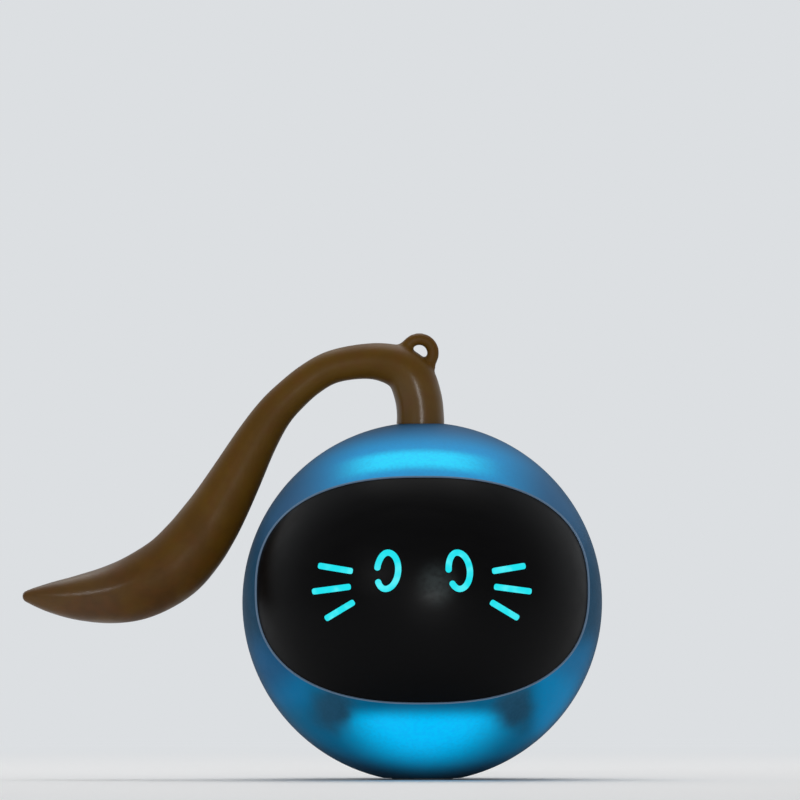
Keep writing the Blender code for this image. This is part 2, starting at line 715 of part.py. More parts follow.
def gear_outline(teeth, module, phase):
    """A spur gear's outline with a tooth centred on the phase angle."""
    pitch = module * teeth / 2
    base = pitch * math.cos(PRESSURE_ANGLE)
    root = pitch - DEDENDUM_SHARE * module
    tip = pitch + ADDENDUM_SHARE * module
    half_tooth = math.pi / teeth * TOOTH_THICKNESS_SHARE
    flank = []
    for radius in (root, tip):
        pressure = math.acos(min(1.0, base / radius))
        flank.append((radius, half_tooth + involute(PRESSURE_ANGLE) - involute(pressure)))
    outline = []
    for tooth in range(teeth):
        middle = phase + 2 * math.pi * tooth / teeth
        outline += [(r * math.cos(middle - a), r * math.sin(middle - a)) for r, a in flank]
        outline += [(r * math.cos(middle + a), r * math.sin(middle + a)) for r, a in reversed(flank)]
    return outline


def smooth_line(stations, steps):
    """Points on a smooth curve through the stations, by Catmull and Rom's formula."""
    line = []
    last = len(stations) - 1
    for i in range(last):
        a, b, c, d = (Vector(stations[min(max(i + k, 0), last)]) for k in (-1, 0, 1, 2))
        for step in range(steps):
            t = step / steps
            line.append(
                (2 * b + (c - a) * t + (2 * a - 5 * b + 4 * c - d) * t**2 + (3 * b - a - 3 * c + d) * t**3)
                / 2
            )
    line.append(Vector(stations[last]))
    return line


# Shared trimming shapes


def ball(radius, arc_steps):
    """A whole ball, with its poles to the front and back."""
    profile = arc(radius, math.pi / 2, -math.pi / 2, 2 * arc_steps)
    profile[0] = (0, radius)
    profile[-1] = (0, -radius)
    return turned(profile, SHELL_STEPS, "Y")


def half_ball(radius, side):
    """The front (side -1) or back (side 1) half of a ball, cut just clear of the seam plane."""
    # Turning to Y takes a height on the profile to minus Y
    pole = -side
    flat = pole * SEAM_GAP
    start = math.asin(flat / radius)
    profile = [(0, flat)] + arc(radius, start, pole * math.pi / 2, SHELL_ARC_STEPS)
    profile[-1] = (0, pole * radius)
    return turned(profile, SHELL_STEPS, "Y")


def shell_half(side):
    """One half shell, with the tongue (front) or the groove (back) that centres it on the other."""
    pole = -side
    flat = pole * SEAM_GAP / 2
    inner = BALL_RADIUS - SHELL_WALL
    outer_arc = arc(BALL_RADIUS, pole * math.pi / 2, math.asin(flat / BALL_RADIUS), SHELL_ARC_STEPS)
    outer_arc[0] = (0, pole * BALL_RADIUS)
    tongue = EAR_THICKNESS / 2
    if side < 0:
        step_radius = inner + TONGUE_WALL
        rim = [(step_radius, flat), (step_radius, -pole * tongue), (inner, -pole * tongue)]
        inner_start = 0.0
    else:
        step_radius = inner + TONGUE_WALL + TOUCH_GAP
        depth = tongue + TOUCH_GAP
        rim = [(step_radius, flat), (step_radius, pole * depth)]
        inner_start = pole * math.asin(depth / inner)
    inner_arc = arc(inner, inner_start, pole * math.pi / 2, INNER_ARC_STEPS)
    inner_arc[-1] = (0, pole * inner)
    return turned(outer_arc + rim + inner_arc, SHELL_STEPS, "Y")


def sphere_layer(outer, inner, outer_steps=SHELL_ARC_STEPS, inner_steps=SHELL_ARC_STEPS):
    """The front half of a hollow ball, as thick as the visor or one of its layers."""
    outer_arc = arc(outer, math.pi / 2, 0, outer_steps)
    inner_arc = arc(inner, 0, math.pi / 2, inner_steps)
    outer_arc[0] = (0, outer)
    inner_arc[-1] = (0, inner)
    return turned(outer_arc + inner_arc, SHELL_STEPS, "Y")


def visor_outline(margin):
    return superellipse(
        VISOR_HALF_WIDTH + margin,
        VISOR_HALF_HEIGHT + margin,
        VISOR_CENTRE_Z,
        VISOR_SQUARENESS,
        VISOR_OUTLINE_POINTS,
    )


def front_prism(outline, high=CUT_OVERRUN):
    return prism([outline], -BALL_RADIUS - CUT_OVERRUN, high, "Y")


POSTS = [
    (side * LOWER_POST_X, LOWER_POST_Z, LOWER_POST_RADIUS) for side in (-1, 1)
] + [(side * UPPER_POST_X, UPPER_POST_Z, UPPER_POST_RADIUS) for side in (-1, 1)]
POST_NAMES = ("lower_left", "lower_right", "upper_left", "upper_right")
FACE_SIDES = ((-1, "left"), (1, "right"))
BUTTON_HOLE_RADIUS = BUTTON_RADIUS + BUTTON_EDGE_GAP


# Shells


def shell(side, name):
    """A half shell with its screw posts and its half of the floor under the bottom weight."""
    word = "front" if side < 0 else "rear"
    trimmer = tool(f"{word}_trimmer", half_ball(BALL_RADIUS - SHELL_WALL / 2, side))
    body = piece(name, shell_half(side), MILKY_SHELL)
    near = side * (EAR_THICKNESS / 2 + TOUCH_GAP)
    far = side * BALL_RADIUS
    floor = tool(f"{word}_floor", bar(FLOOR_RADIUS, -BALL_RADIUS, FLOOR_TOP_Z, sides=24))
    join(body, keep_inside(floor, trimmer))
    for label, (x, z, radius) in zip(POST_NAMES, POSTS):
        joined = tool(f"{word}_post_{label}", post(radius, (near, far), (x, z)))
        join(body, keep_inside(joined, trimmer))
    return body


def cut_bottom_and_top(body):
    """The flat under the ball, the recess for the foot pad and the hole for the tail's collar."""
    word = body.name
    flat_z = -FOOT_DEPTH + FOOT_STAND_OFF
    reach = FOOT_RADIUS + CUT_OVERRUN + CUT_OVERRUN
    below = tool(
        f"{word}_flat", block((-reach, -reach, -BALL_RADIUS - CUT_OVERRUN), (reach, reach, flat_z))
    )
    recess_top = -FOOT_DEPTH + FOOT_THICKNESS + TOUCH_GAP
    recess = tool(
        f"{word}_recess",
        bar(FOOT_RADIUS + TOUCH_GAP, -BALL_RADIUS - CUT_OVERRUN, recess_top, sides=24),
    )
    collar_hole = tool(
        f"{word}_collar_hole",
        bar(COLLAR_NECK_RADIUS + TOUCH_GAP, COLLAR_FLANGE_TOP_Z, BALL_RADIUS + CUT_OVERRUN, sides=22),
    )
    return cut(body, below, recess, collar_hole)


def front_shell():
    body = shell(-1, "front_shell")
    opening = tool("visor_opening", front_prism(visor_outline(0), high=-SHELL_WALL))
    cut(body, opening)
    pilot_end = -SHELL_SCREW_REACH - CUT_OVERRUN
    for label, (x, z, _) in zip(POST_NAMES, POSTS):
        cut(body, tool(f"pilot_{label}", screw_hole((pilot_end, 0), (x, z))))
    # The tongue stops short of the rear shell's half of the floor
    half = FLOOR_RADIUS + TOUCH_GAP
    relief = tool(
        "tongue_relief",
        block((-half, 0, -BALL_RADIUS), (half, EAR_THICKNESS, FLOOR_TOP_Z)),
    )
    cut(body, relief)
    return cut_bottom_and_top(body)


def rear_shell():
    body = shell(1, "rear_shell")
    low = CONTROL_BOARD_BACK_Y + TOUCH_GAP
    for side, label in FACE_SIDES:
        place = (side * BOARD_POST_X, BOARD_POST_Z)
        joined = tool(f"board_post_{label}", post(BOARD_POST_RADIUS, (low, BALL_RADIUS), place))
        join(body, keep_inside(joined, bpy.data.objects["rear_trimmer"]))
        pilot = screw_hole((low - CUT_OVERRUN, low + BOARD_SCREW_REACH), place)
        cut(body, tool(f"board_pilot_{label}", pilot))
    for label, (x, z, _) in zip(POST_NAMES, POSTS):
        well = post(SCREW_WELL_RADIUS, (SHELL_SCREW_SEAT, BALL_RADIUS), (x, z))
        cut(
            body,
            tool(f"clearance_{label}", screw_hole((0, BALL_RADIUS), (x, z))),
            tool(f"well_{label}", well),
        )
    window = rounded_rectangle(
        (-PORT_WINDOW_HALF_WIDTH, PORT_Z - PORT_WINDOW_HALF_HEIGHT),
        (PORT_WINDOW_HALF_WIDTH, PORT_Z + PORT_WINDOW_HALF_HEIGHT),
        PORT_WINDOW_HALF_HEIGHT * CORNER_SHARE,
        PORT_CORNER_POINTS,
    )
    through = (CONTROL_BOARD_BACK_Y + PORT_LENGTH / 2, BALL_RADIUS + CUT_OVERRUN)
    cut(
        body,
        tool("port_window", prism([window], *through, "Y")),
        tool("button_hole", bar(BUTTON_HOLE_RADIUS, *through, (0, BUTTON_Z), "Y", 22)),
    )
    return cut_bottom_and_top(body)


def shell_screw(label, x, z):
    seat = SHELL_SCREW_SEAT + TOUCH_GAP
    return piece(f"shell_screw_{label}", screw_mesh(seat, SHELL_SCREW_REACH + seat, (x, z)), STEEL)


def screw_mesh(seat, length, at, towards=-1, axis="Y"):
    """A pan-head screw whose head sits on a seat and whose shank runs towards minus the axis."""
    profile = [
        (0, -length),
        (SCREW_RADIUS, -length + SCREW_RADIUS),
        (SCREW_RADIUS, 0),
        (SCREW_HEAD_RADIUS, 0),
        (SCREW_HEAD_RADIUS, SCREW_HEAD_HEIGHT * CROWN_SHARE),
        (SCREW_HEAD_RADIUS * CROWN_SHARE, SCREW_HEAD_HEIGHT),
        (0, SCREW_HEAD_HEIGHT),
    ]
    # Turning to Y takes a height to minus Y, so the profile is turned over for a head that faces back
    flip = towards if axis == "Y" else -towards
    profile = [(radius, along * flip) for radius, along in profile]
    return placed(turned(profile, SCREW_STEPS), axis, at, seat)


def foot_pad():
    low, high = -FOOT_DEPTH, -FOOT_DEPTH + FOOT_THICKNESS
    profile = [
        (0, low),
        (FOOT_RADIUS - FOOT_CHAMFER, low),
        (FOOT_RADIUS, low + FOOT_CHAMFER),
        (FOOT_RADIUS, high),
        (0, high),
    ]
    return piece("foot_pad", turned(profile, 24), FOOT_RUBBER)


# Visor and face


def whisker_lines(side):
    lines = []
    for x, z, length, slope in zip(WHISKER_INNER_X, WHISKER_INNER_Z, WHISKER_LENGTH, WHISKER_SLOPE_DEG):
        angle = math.radians(slope)
        outer = (x + length * math.cos(angle), z + length * math.sin(angle))
        lines.append([(side * x, z), (side * outer[0], outer[1])])
    return lines


def eye_line(side):
    """An open ring, leaning towards the middle of the face at its top."""
    lean = math.radians(side * EYE_LEAN_DEG)
    start, end = math.radians(EYE_START_DEG), math.radians(EYE_END_DEG)
    line = []
    for i in range(EYE_STEPS + 1):
        angle = start + (end - start) * i / EYE_STEPS
        across = EYE_HALF_WIDTH * math.cos(angle)
        up = EYE_HALF_HEIGHT * math.sin(angle)
        line.append(
            (
                side * EYE_X + across * math.cos(lean) - up * math.sin(lean),
                EYE_Z + across * math.sin(lean) + up * math.cos(lean),
            )
        )
    return line


def visor():
    layer = sphere_layer(VISOR_OUTER_RADIUS, VISOR_INNER_RADIUS, inner_steps=INNER_ARC_STEPS)
    body = piece("visor", layer, BLACK_VISOR)
    flange = front_prism(visor_outline(VISOR_FLANGE_WIDTH), high=VISOR_REAR_Y)
    keep_inside(body, tool("visor_flange_outline", flange))
    step = sphere_layer(BALL_RADIUS + CUT_OVERRUN, VISOR_FLANGE_RADIUS, inner_steps=INNER_ARC_STEPS)
    around = tool("visor_step", step)
    cut(around, tool("visor_face_outline", front_prism(visor_outline(-VISOR_EDGE_GAP))))
    cut(body, around)
    for label, (x, z, radius) in zip(POST_NAMES, POSTS):
        notch = post(radius + TOUCH_GAP, (-BALL_RADIUS, 0), (x, z))
        cut(body, tool(f"visor_notch_{label}", notch))
    middle_radius = (VISOR_INNER_RADIUS + VISOR_OUTER_RADIUS) / 2
    solid_front = tool("visor_boss_trimmer", ball(middle_radius, SHELL_ARC_STEPS))
    for z, label in ((FACE_BOSS_UPPER_Z, "upper"), (FACE_BOSS_LOWER_Z, "lower")):
        boss = post(FACE_BOSS_RADIUS, (-BALL_RADIUS, LIGHT_BOX_BACK_Y), (0, z))
        join(body, keep_inside(tool(f"face_boss_{label}", boss), solid_front))
        hole_end = LIGHT_BOX_BACK_Y - FACE_SCREW_REACH
        hole = screw_hole((hole_end, LIGHT_BOX_BACK_Y + CUT_OVERRUN), (0, z))
        cut(body, tool(f"face_pilot_{label}", hole))
    slot = STROKE_WIDTH + 2 * SLOT_GAP
    for side, label in FACE_SIDES:
        cut(body, tool(f"eye_slot_{label}", front_prism(stroke(eye_line(side), slot))))
        for number, line in enumerate(whisker_lines(side)):
            cut(body, tool(f"whisker_slot_{label}_{number}", front_prism(stroke(line, slot))))
    return body


def plate_outline(side, kind, margin=0.0):
    """The backing plate of an eye or of a side's whiskers; a margin draws its edge in."""
    if kind == "eye":
        low = (side * EYE_X - EYE_PLATE_HALF_WIDTH, EYE_Z - EYE_PLATE_HALF_HEIGHT)
        high = (side * EYE_X + EYE_PLATE_HALF_WIDTH, EYE_Z + EYE_PLATE_HALF_HEIGHT)
    else:
        inner, outer = side * WHISKER_PLATE_INNER_X, side * WHISKER_PLATE_OUTER_X
        low = (min(inner, outer), WHISKER_PLATE_BOTTOM_Z)
        high = (max(inner, outer), WHISKER_PLATE_TOP_Z)
    return rounded_rectangle(
        (low[0] + margin, low[1] + margin), (high[0] - margin, high[1] - margin), PLATE_CORNER
    )


def face_light(name, side, kind, lines):
    """A backing plate that follows the visor's inside, with a rib for each mark that fills its slot."""
    layer = sphere_layer(LENS_OUTER_RADIUS, LENS_INNER_RADIUS, INNER_ARC_STEPS, INNER_ARC_STEPS)
    body = piece(name, layer, FACE_LIGHT)
    keep_inside(body, tool(f"{name}_plate", front_prism(plate_outline(side, kind))))
    for number, line in enumerate(lines):
        rib = tool(
            f"{name}_rib_{number}",
            sphere_layer(VISOR_OUTER_RADIUS, (LENS_OUTER_RADIUS + LENS_INNER_RADIUS) / 2),
        )
        outline = tool(f"{name}_mark_{number}", front_prism(stroke(line, STROKE_WIDTH)))
        join(body, keep_inside(rib, outline))
    return body


def face_lights():
    for side, label in FACE_SIDES:
        face_light(f"eye_light_{label}", side, "eye", [eye_line(side)])
        face_light(f"whisker_light_{label}", side, "whisker", whisker_lines(side))


def face_light_box():
    """A white block that keeps the light behind one mark from reaching the next or the shell."""
    outline = rounded_rectangle(
        (-LIGHT_BOX_HALF_WIDTH, LIGHT_BOX_BOTTOM_Z),
        (LIGHT_BOX_HALF_WIDTH, LIGHT_BOX_TOP_Z),
        FACE_BOARD_CORNER,
    )
    body = piece("face_light_box", front_prism(outline, high=LIGHT_BOX_BACK_Y), WHITE_PLASTIC)
    keep_inside(body, tool("light_box_front", ball(LIGHT_BOX_FRONT_RADIUS, INNER_ARC_STEPS)))
    for side, label in FACE_SIDES:
        for kind in ("eye", "whisker"):
            chamber = front_prism(
                plate_outline(side, kind, CHAMBER_MARGIN), high=LIGHT_BOX_BACK_Y + CUT_OVERRUN
            )
            cut(body, tool(f"{kind}_chamber_{label}", chamber))
    for z, label in ((FACE_BOSS_UPPER_Z, "upper"), (FACE_BOSS_LOWER_Z, "lower")):
        hole = post(FACE_BOSS_RADIUS + TOUCH_GAP, (-BALL_RADIUS, 0), (0, z))
        cut(body, tool(f"light_box_hole_{label}", hole))
    return body


def face_board():
    front = LIGHT_BOX_BACK_Y + TOUCH_GAP
    outline = rounded_rectangle(
        (-FACE_BOARD_HALF_WIDTH, LIGHT_BOX_BOTTOM_Z),
        (FACE_BOARD_HALF_WIDTH, LIGHT_BOX_TOP_Z),
        FACE_BOARD_CORNER,
    )
    holes = [circle(SCREW_HOLE_RADIUS, HOLE_SIDES, (0, z)) for z in (FACE_BOSS_UPPER_Z, FACE_BOSS_LOWER_Z)]
    back = front + FACE_BOARD_THICKNESS
    board = piece("face_board", prism([outline, *holes], front, back, "Y"), CIRCUIT_BOARD)
    for z, label in ((FACE_BOSS_UPPER_Z, "upper"), (FACE_BOSS_LOWER_Z, "lower")):
        seat = back + TOUCH_GAP
        piece(f"face_screw_{label}", screw_mesh(seat, FACE_SCREW_REACH, (0, z)), STEEL)
    whisker_x = (WHISKER_PLATE_INNER_X + WHISKER_PLATE_OUTER_X) / 2
    whisker_z = (WHISKER_PLATE_BOTTOM_Z + WHISKER_PLATE_TOP_Z) / 2
    for side, label in FACE_SIDES:
        for kind, x, z in (("eye", EYE_X, EYE_Z), ("whisker", whisker_x, whisker_z)):
            high = LIGHT_BOX_BACK_Y
            low = high - LED_DEPTH
            led = block(
                (side * x - LED_WIDTH / 2, low, z - LED_HEIGHT / 2),
                (side * x + LED_WIDTH / 2, high, z + LED_HEIGHT / 2),
            )
            piece(f"{kind}_led_{label}", led, LED_PACKAGE)
    return board


# Bottom weight, battery and lower frame


def ballast():
    """A cast weight that fills the bottom of the ball, which rights it when it leans."""
    outer = BALL_RADIUS - SHELL_WALL - BALLAST_GAP
    low = FLOOR_TOP_Z + TOUCH_GAP
    start, end = math.asin(low / outer), math.asin(BALLAST_TOP_Z / outer)
    side = arc(outer, start, end, BALLAST_ARC_STEPS)
    profile = [(0, low), *side, (0, BALLAST_TOP_Z)]
    return piece("ballast", turned(profile, 32), STEEL)


def battery():
    low = BALLAST_TOP_Z + TOUCH_GAP
    mesh = block(
        (-BATTERY_HALF_LENGTH, -BATTERY_HALF_DEPTH, low),
        (BATTERY_HALF_LENGTH, BATTERY_HALF_DEPTH, low + BATTERY_HEIGHT),
        BATTERY_CORNER,
    )
    return piece("battery", mesh, BATTERY_WRAP)


def lower_frame():
    """The plate that carries the rotor, with ears for the shell screws and legs down to the weight."""
    top = LOWER_PLATE_BOTTOM_Z + LOWER_PLATE_THICKNESS
    plate = clipped_disc(LOWER_PLATE_RADIUS, LOWER_PLATE_FRONT_Y, LOWER_PLATE_REAR_Y)
    hole = circle(BUSHING_RADIUS + TOUCH_GAP, 16)
    body = piece("lower_frame", prism([plate, hole], LOWER_PLATE_BOTTOM_Z, top), GREY_PLASTIC)
    overlap = LOWER_PLATE_THICKNESS / 2
    inside = tool("lower_frame_trimmer", ball(BALL_RADIUS - SHELL_WALL - TOUCH_GAP, INNER_ARC_STEPS))
    pillar_top = MOTOR_PLATE_BOTTOM_Z - TOUCH_GAP
    for x_side, x_word in FACE_SIDES:
        for y_side, y_word in ((-1, "front"), (1, "rear")):
            place = (x_side * PILLAR_X, y_side * PILLAR_Y)
            pillar = bar(PILLAR_RADIUS, LOWER_PLATE_BOTTOM_Z + overlap, pillar_top, place, sides=POST_SIDES)
            leg_place = (x_side * LEG_X, y_side * LEG_Y)
            leg = bar(
                LEG_RADIUS,
                BALLAST_TOP_Z + TOUCH_GAP,
                LOWER_PLATE_BOTTOM_Z + overlap,
                leg_place,
                sides=HOLE_SIDES,
            )
            join(
                body,
                tool(f"pillar_{y_word}_{x_word}", pillar),
                tool(f"leg_{y_word}_{x_word}", leg),
            )
            pilot = screw_hole((top, pillar_top + CUT_OVERRUN), place, "Z")
            cut(body, tool(f"pillar_pilot_{y_word}_{x_word}", pilot))
    for side, word in FACE_SIDES:
        x = side * LOWER_POST_X
        half = EAR_THICKNESS / 2
        outline = lug_outline(LOWER_POST_RADIUS, x, LOWER_POST_Z, LOWER_PLATE_BOTTOM_Z + overlap)
        ear = tool(f"ear_{word}", prism([outline], -half, half, "Y"))
        join(body, keep_inside(ear, inside))
        hole = screw_hole((-half - CUT_OVERRUN, half + CUT_OVERRUN), (x, LOWER_POST_Z))
        cut(body, tool(f"ear_hole_{word}", hole))
        rib_x = side * LOWER_RIB_X
        rib = block(
            (rib_x - LOWER_RIB_WIDTH / 2, LOWER_RIB_FRONT_Y, LOWER_PLATE_BOTTOM_Z - LOWER_GLOW_HEIGHT),
            (
                rib_x + LOWER_RIB_WIDTH / 2,
                LOWER_RIB_FRONT_Y + LOWER_RIB_DEPTH,
                LOWER_PLATE_BOTTOM_Z + overlap,
            ),
        )
        join(body, tool(f"lower_rib_{word}", rib))
    return body


# Rotor and gear train


def rotor_weight():
    half = math.radians(WEIGHT_HALF_ANGLE_DEG)
    sector = arc(WEIGHT_RADIUS, -half, half, WEIGHT_ARC_STEPS)
    hub = arc(WEIGHT_HUB_RADIUS, math.pi / 2, 3 * math.pi / 2, WEIGHT_ARC_STEPS // 2)
    bore = circle(ROTOR_SHAFT_RADIUS + RUNNING_GAP, 12)
    top = WEIGHT_BOTTOM_Z + WEIGHT_THICKNESS
    return piece("rotor_weight", prism([sector + hub, bore], WEIGHT_BOTTOM_Z, top), STEEL, ROTOR_AXIS)


def rotor_gear():
    top = ROTOR_GEAR_BOTTOM_Z + GEAR_THICKNESS
    outline = gear_outline(ROTOR_GEAR_TEETH, COARSE_MODULE, 0.0)
    gear = prism([outline], ROTOR_GEAR_BOTTOM_Z, top)
    body = piece("rotor_gear", gear, GEAR_PLASTIC, ROTOR_AXIS)
    hub_bottom = WEIGHT_BOTTOM_Z + WEIGHT_THICKNESS + TOUCH_GAP
    hub = bar(ROTOR_GEAR_HUB_RADIUS, hub_bottom, ROTOR_GEAR_BOTTOM_Z + GEAR_THICKNESS / 2, sides=16)
    join(body, tool("rotor_gear_hub", hub, ROTOR_AXIS))
    bore = bar(ROTOR_SHAFT_RADIUS + RUNNING_GAP, hub_bottom - CUT_OVERRUN, top + CUT_OVERRUN, sides=12)
    return cut(body, tool("rotor_gear_bore", bore, ROTOR_AXIS))


def rotor_shaft():
    low = LOWER_PLATE_BOTTOM_Z + TOUCH_GAP
    high = MOTOR_PLATE_BOTTOM_Z + MOTOR_PLATE_THICKNESS - TOUCH_GAP
    shaft = bar(ROTOR_SHAFT_RADIUS, low, high, sides=12)
    return piece("rotor_shaft", shaft, STEEL, ROTOR_AXIS)


def rotor_clip():
    low = ROTOR_GEAR_BOTTOM_Z + GEAR_THICKNESS + TOUCH_GAP
    ring = [circle(CLIP_RADIUS, 20), circle(ROTOR_SHAFT_RADIUS + RUNNING_GAP, 12)]
    return piece("rotor_clip", prism(ring, low, low + CLIP_THICKNESS), STEEL, ROTOR_AXIS)


def bushing(name, seat_low, seat_high, flange_side):
    """A flanged brass bearing in a plate. The flange faces the rotor, up (1) or down (-1)."""
    bore = ROTOR_SHAFT_RADIUS + RUNNING_GAP
    near, far = (seat_high, seat_low) if flange_side > 0 else (seat_low, seat_high)
    step = near + flange_side * TOUCH_GAP
    face = step + flange_side * BUSHING_FLANGE_THICKNESS
    profile = [
        (bore, far),
        (BUSHING_RADIUS, far),
        (BUSHING_RADIUS, step),
        (BUSHING_FLANGE_RADIUS, step),
        (BUSHING_FLANGE_RADIUS, face),
        (bore, face),
    ]
    return piece(name, turned(profile, 12, closed=True), BRASS)


def idler_gear():
    """A wheel that the motor's pinion turns, moulded in one with the pinion that turns the rotor."""
    pinion = gear_outline(IDLER_PINION_TEETH, COARSE_MODULE, math.pi + math.pi / IDLER_PINION_TEETH)
    wheel = gear_outline(IDLER_WHEEL_TEETH, FINE_MODULE, math.radians(MOTOR_BEARING_DEG))
    wheel_bottom = FINE_GEAR_BOTTOM_Z
    wheel_top = wheel_bottom + GEAR_THICKNESS
    wheel_mesh = prism([wheel], wheel_bottom, wheel_top)
    body = piece("idler_gear", wheel_mesh, GEAR_PLASTIC, IDLER_AXIS)
    pinion_mesh = prism([pinion], ROTOR_GEAR_BOTTOM_Z, wheel_bottom + GEAR_THICKNESS / 2)
    join(body, tool("idler_pinion", pinion_mesh, IDLER_AXIS))
    bore = bar(
        IDLER_AXLE_RADIUS + RUNNING_GAP,
        ROTOR_GEAR_BOTTOM_Z - CUT_OVERRUN,
        wheel_top + CUT_OVERRUN,
        sides=12,
    )
    return cut(body, tool("idler_bore", bore, IDLER_AXIS))


def idler_axle():
    head_top = ROTOR_GEAR_BOTTOM_Z - TOUCH_GAP
    head_bottom = head_top - IDLER_AXLE_HEAD_HEIGHT
    top = MOTOR_PLATE_BOTTOM_Z + MOTOR_PLATE_THICKNESS - TOUCH_GAP
    profile = [
        (0, head_bottom),
        (IDLER_AXLE_HEAD_RADIUS, head_bottom),
        (IDLER_AXLE_HEAD_RADIUS, head_top),
        (IDLER_AXLE_RADIUS, head_top),
        (IDLER_AXLE_RADIUS, top),
        (0, top),
    ]
    return piece("idler_axle", turned(profile, 12, at=(IDLER_X, 0)), STEEL)


# Motor and the plate that carries it


def motor_outline(margin):
    """A round can with two flats, seen from above."""
    radius, half = MOTOR_RADIUS + margin, MOTOR_HALF_FLAT + margin
    return [
        (MOTOR_X + across, MOTOR_Y + up)
        for across, up in clipped_disc(radius, -half, half, MOTOR_ARC_STEPS)
    ]


def motor_plate():
    top = MOTOR_PLATE_BOTTOM_Z + MOTOR_PLATE_THICKNESS
    plate = clipped_disc(MOTOR_PLATE_RADIUS, MOTOR_PLATE_FRONT_Y, MOTOR_PLATE_REAR_Y)
    holes = [
        circle(IDLER_AXLE_RADIUS + RUNNING_GAP, 16, (IDLER_X, 0)),
        circle(MOTOR_NOSE_RADIUS + TOUCH_GAP, 20, (MOTOR_X, MOTOR_Y)),
    ]
    for x_side in (-1, 1):
        for y_side in (-1, 1):
            holes.append(circle(SCREW_HOLE_RADIUS, HOLE_SIDES, (x_side * PILLAR_X, y_side * PILLAR_Y)))
    body = piece("motor_plate", prism([plate, *holes], MOTOR_PLATE_BOTTOM_Z, top), GREY_PLASTIC)
    socket = prism(
        [motor_outline(TOUCH_GAP + SOCKET_WALL), motor_outline(TOUCH_GAP)],
        top - MOTOR_PLATE_THICKNESS / 2,
        top + SOCKET_HEIGHT,
    )
    join(body, tool("motor_socket", socket))
    seat = bar(
        BUSHING_RADIUS + TOUCH_GAP, MOTOR_PLATE_BOTTOM_Z - CUT_OVERRUN, top + TOUCH_GAP, sides=16
    )
    cut(body, tool("upper_bushing_seat", seat))
    for x_side, x_word in FACE_SIDES:
        for y_side, y_word in ((-1, "front"), (1, "rear")):
            place = (x_side * PILLAR_X, y_side * PILLAR_Y)
            screw = screw_mesh(top + TOUCH_GAP, FACE_SCREW_REACH, place, axis="Z")
            piece(f"frame_screw_{y_word}_{x_word}", screw, STEEL)
    return body


def motor():
    top = MOTOR_BOTTOM_Z + MOTOR_LENGTH
    can = piece("motor_can", prism([motor_outline(0)], MOTOR_BOTTOM_Z, top), STEEL)
    place = (MOTOR_X, MOTOR_Y)
    nose_bottom = MOTOR_BOTTOM_Z - MOTOR_NOSE_LENGTH
    nose = bar(MOTOR_NOSE_RADIUS, nose_bottom, MOTOR_BOTTOM_Z + CUT_OVERRUN, place, sides=20)
    join(can, tool("motor_nose", nose))
    bore_top = MOTOR_BOTTOM_Z + MOTOR_SHAFT_ENTRY
    bore_radius = MOTOR_SHAFT_RADIUS + RUNNING_GAP
    bore = bar(bore_radius, nose_bottom - CUT_OVERRUN, bore_top, place, sides=16)
    cut(can, tool("motor_bore", bore))
    cap = prism([motor_outline(-MOTOR_CAP_INSET)], top + TOUCH_GAP, MOTOR_CAP_TOP_Z)
    piece("motor_end_cap", cap, WHITE_PLASTIC)
    shaft_top = bore_top - TOUCH_GAP
    shaft = bar(MOTOR_SHAFT_RADIUS, FINE_GEAR_BOTTOM_Z, shaft_top, sides=16)
    piece("motor_shaft", shaft, STEEL, MOTOR_AXIS)
    phase = math.radians(MOTOR_BEARING_DEG) + math.pi + math.pi / MOTOR_PINION_TEETH
    outline = gear_outline(MOTOR_PINION_TEETH, FINE_MODULE, phase)
    hole = circle(MOTOR_SHAFT_RADIUS + RUNNING_GAP, 16)
    pinion = prism([outline, hole], FINE_GEAR_BOTTOM_Z, FINE_GEAR_BOTTOM_Z + GEAR_THICKNESS)
    piece("motor_pinion", pinion, BRASS, MOTOR_AXIS)


# Top deck and the boards that light the shell


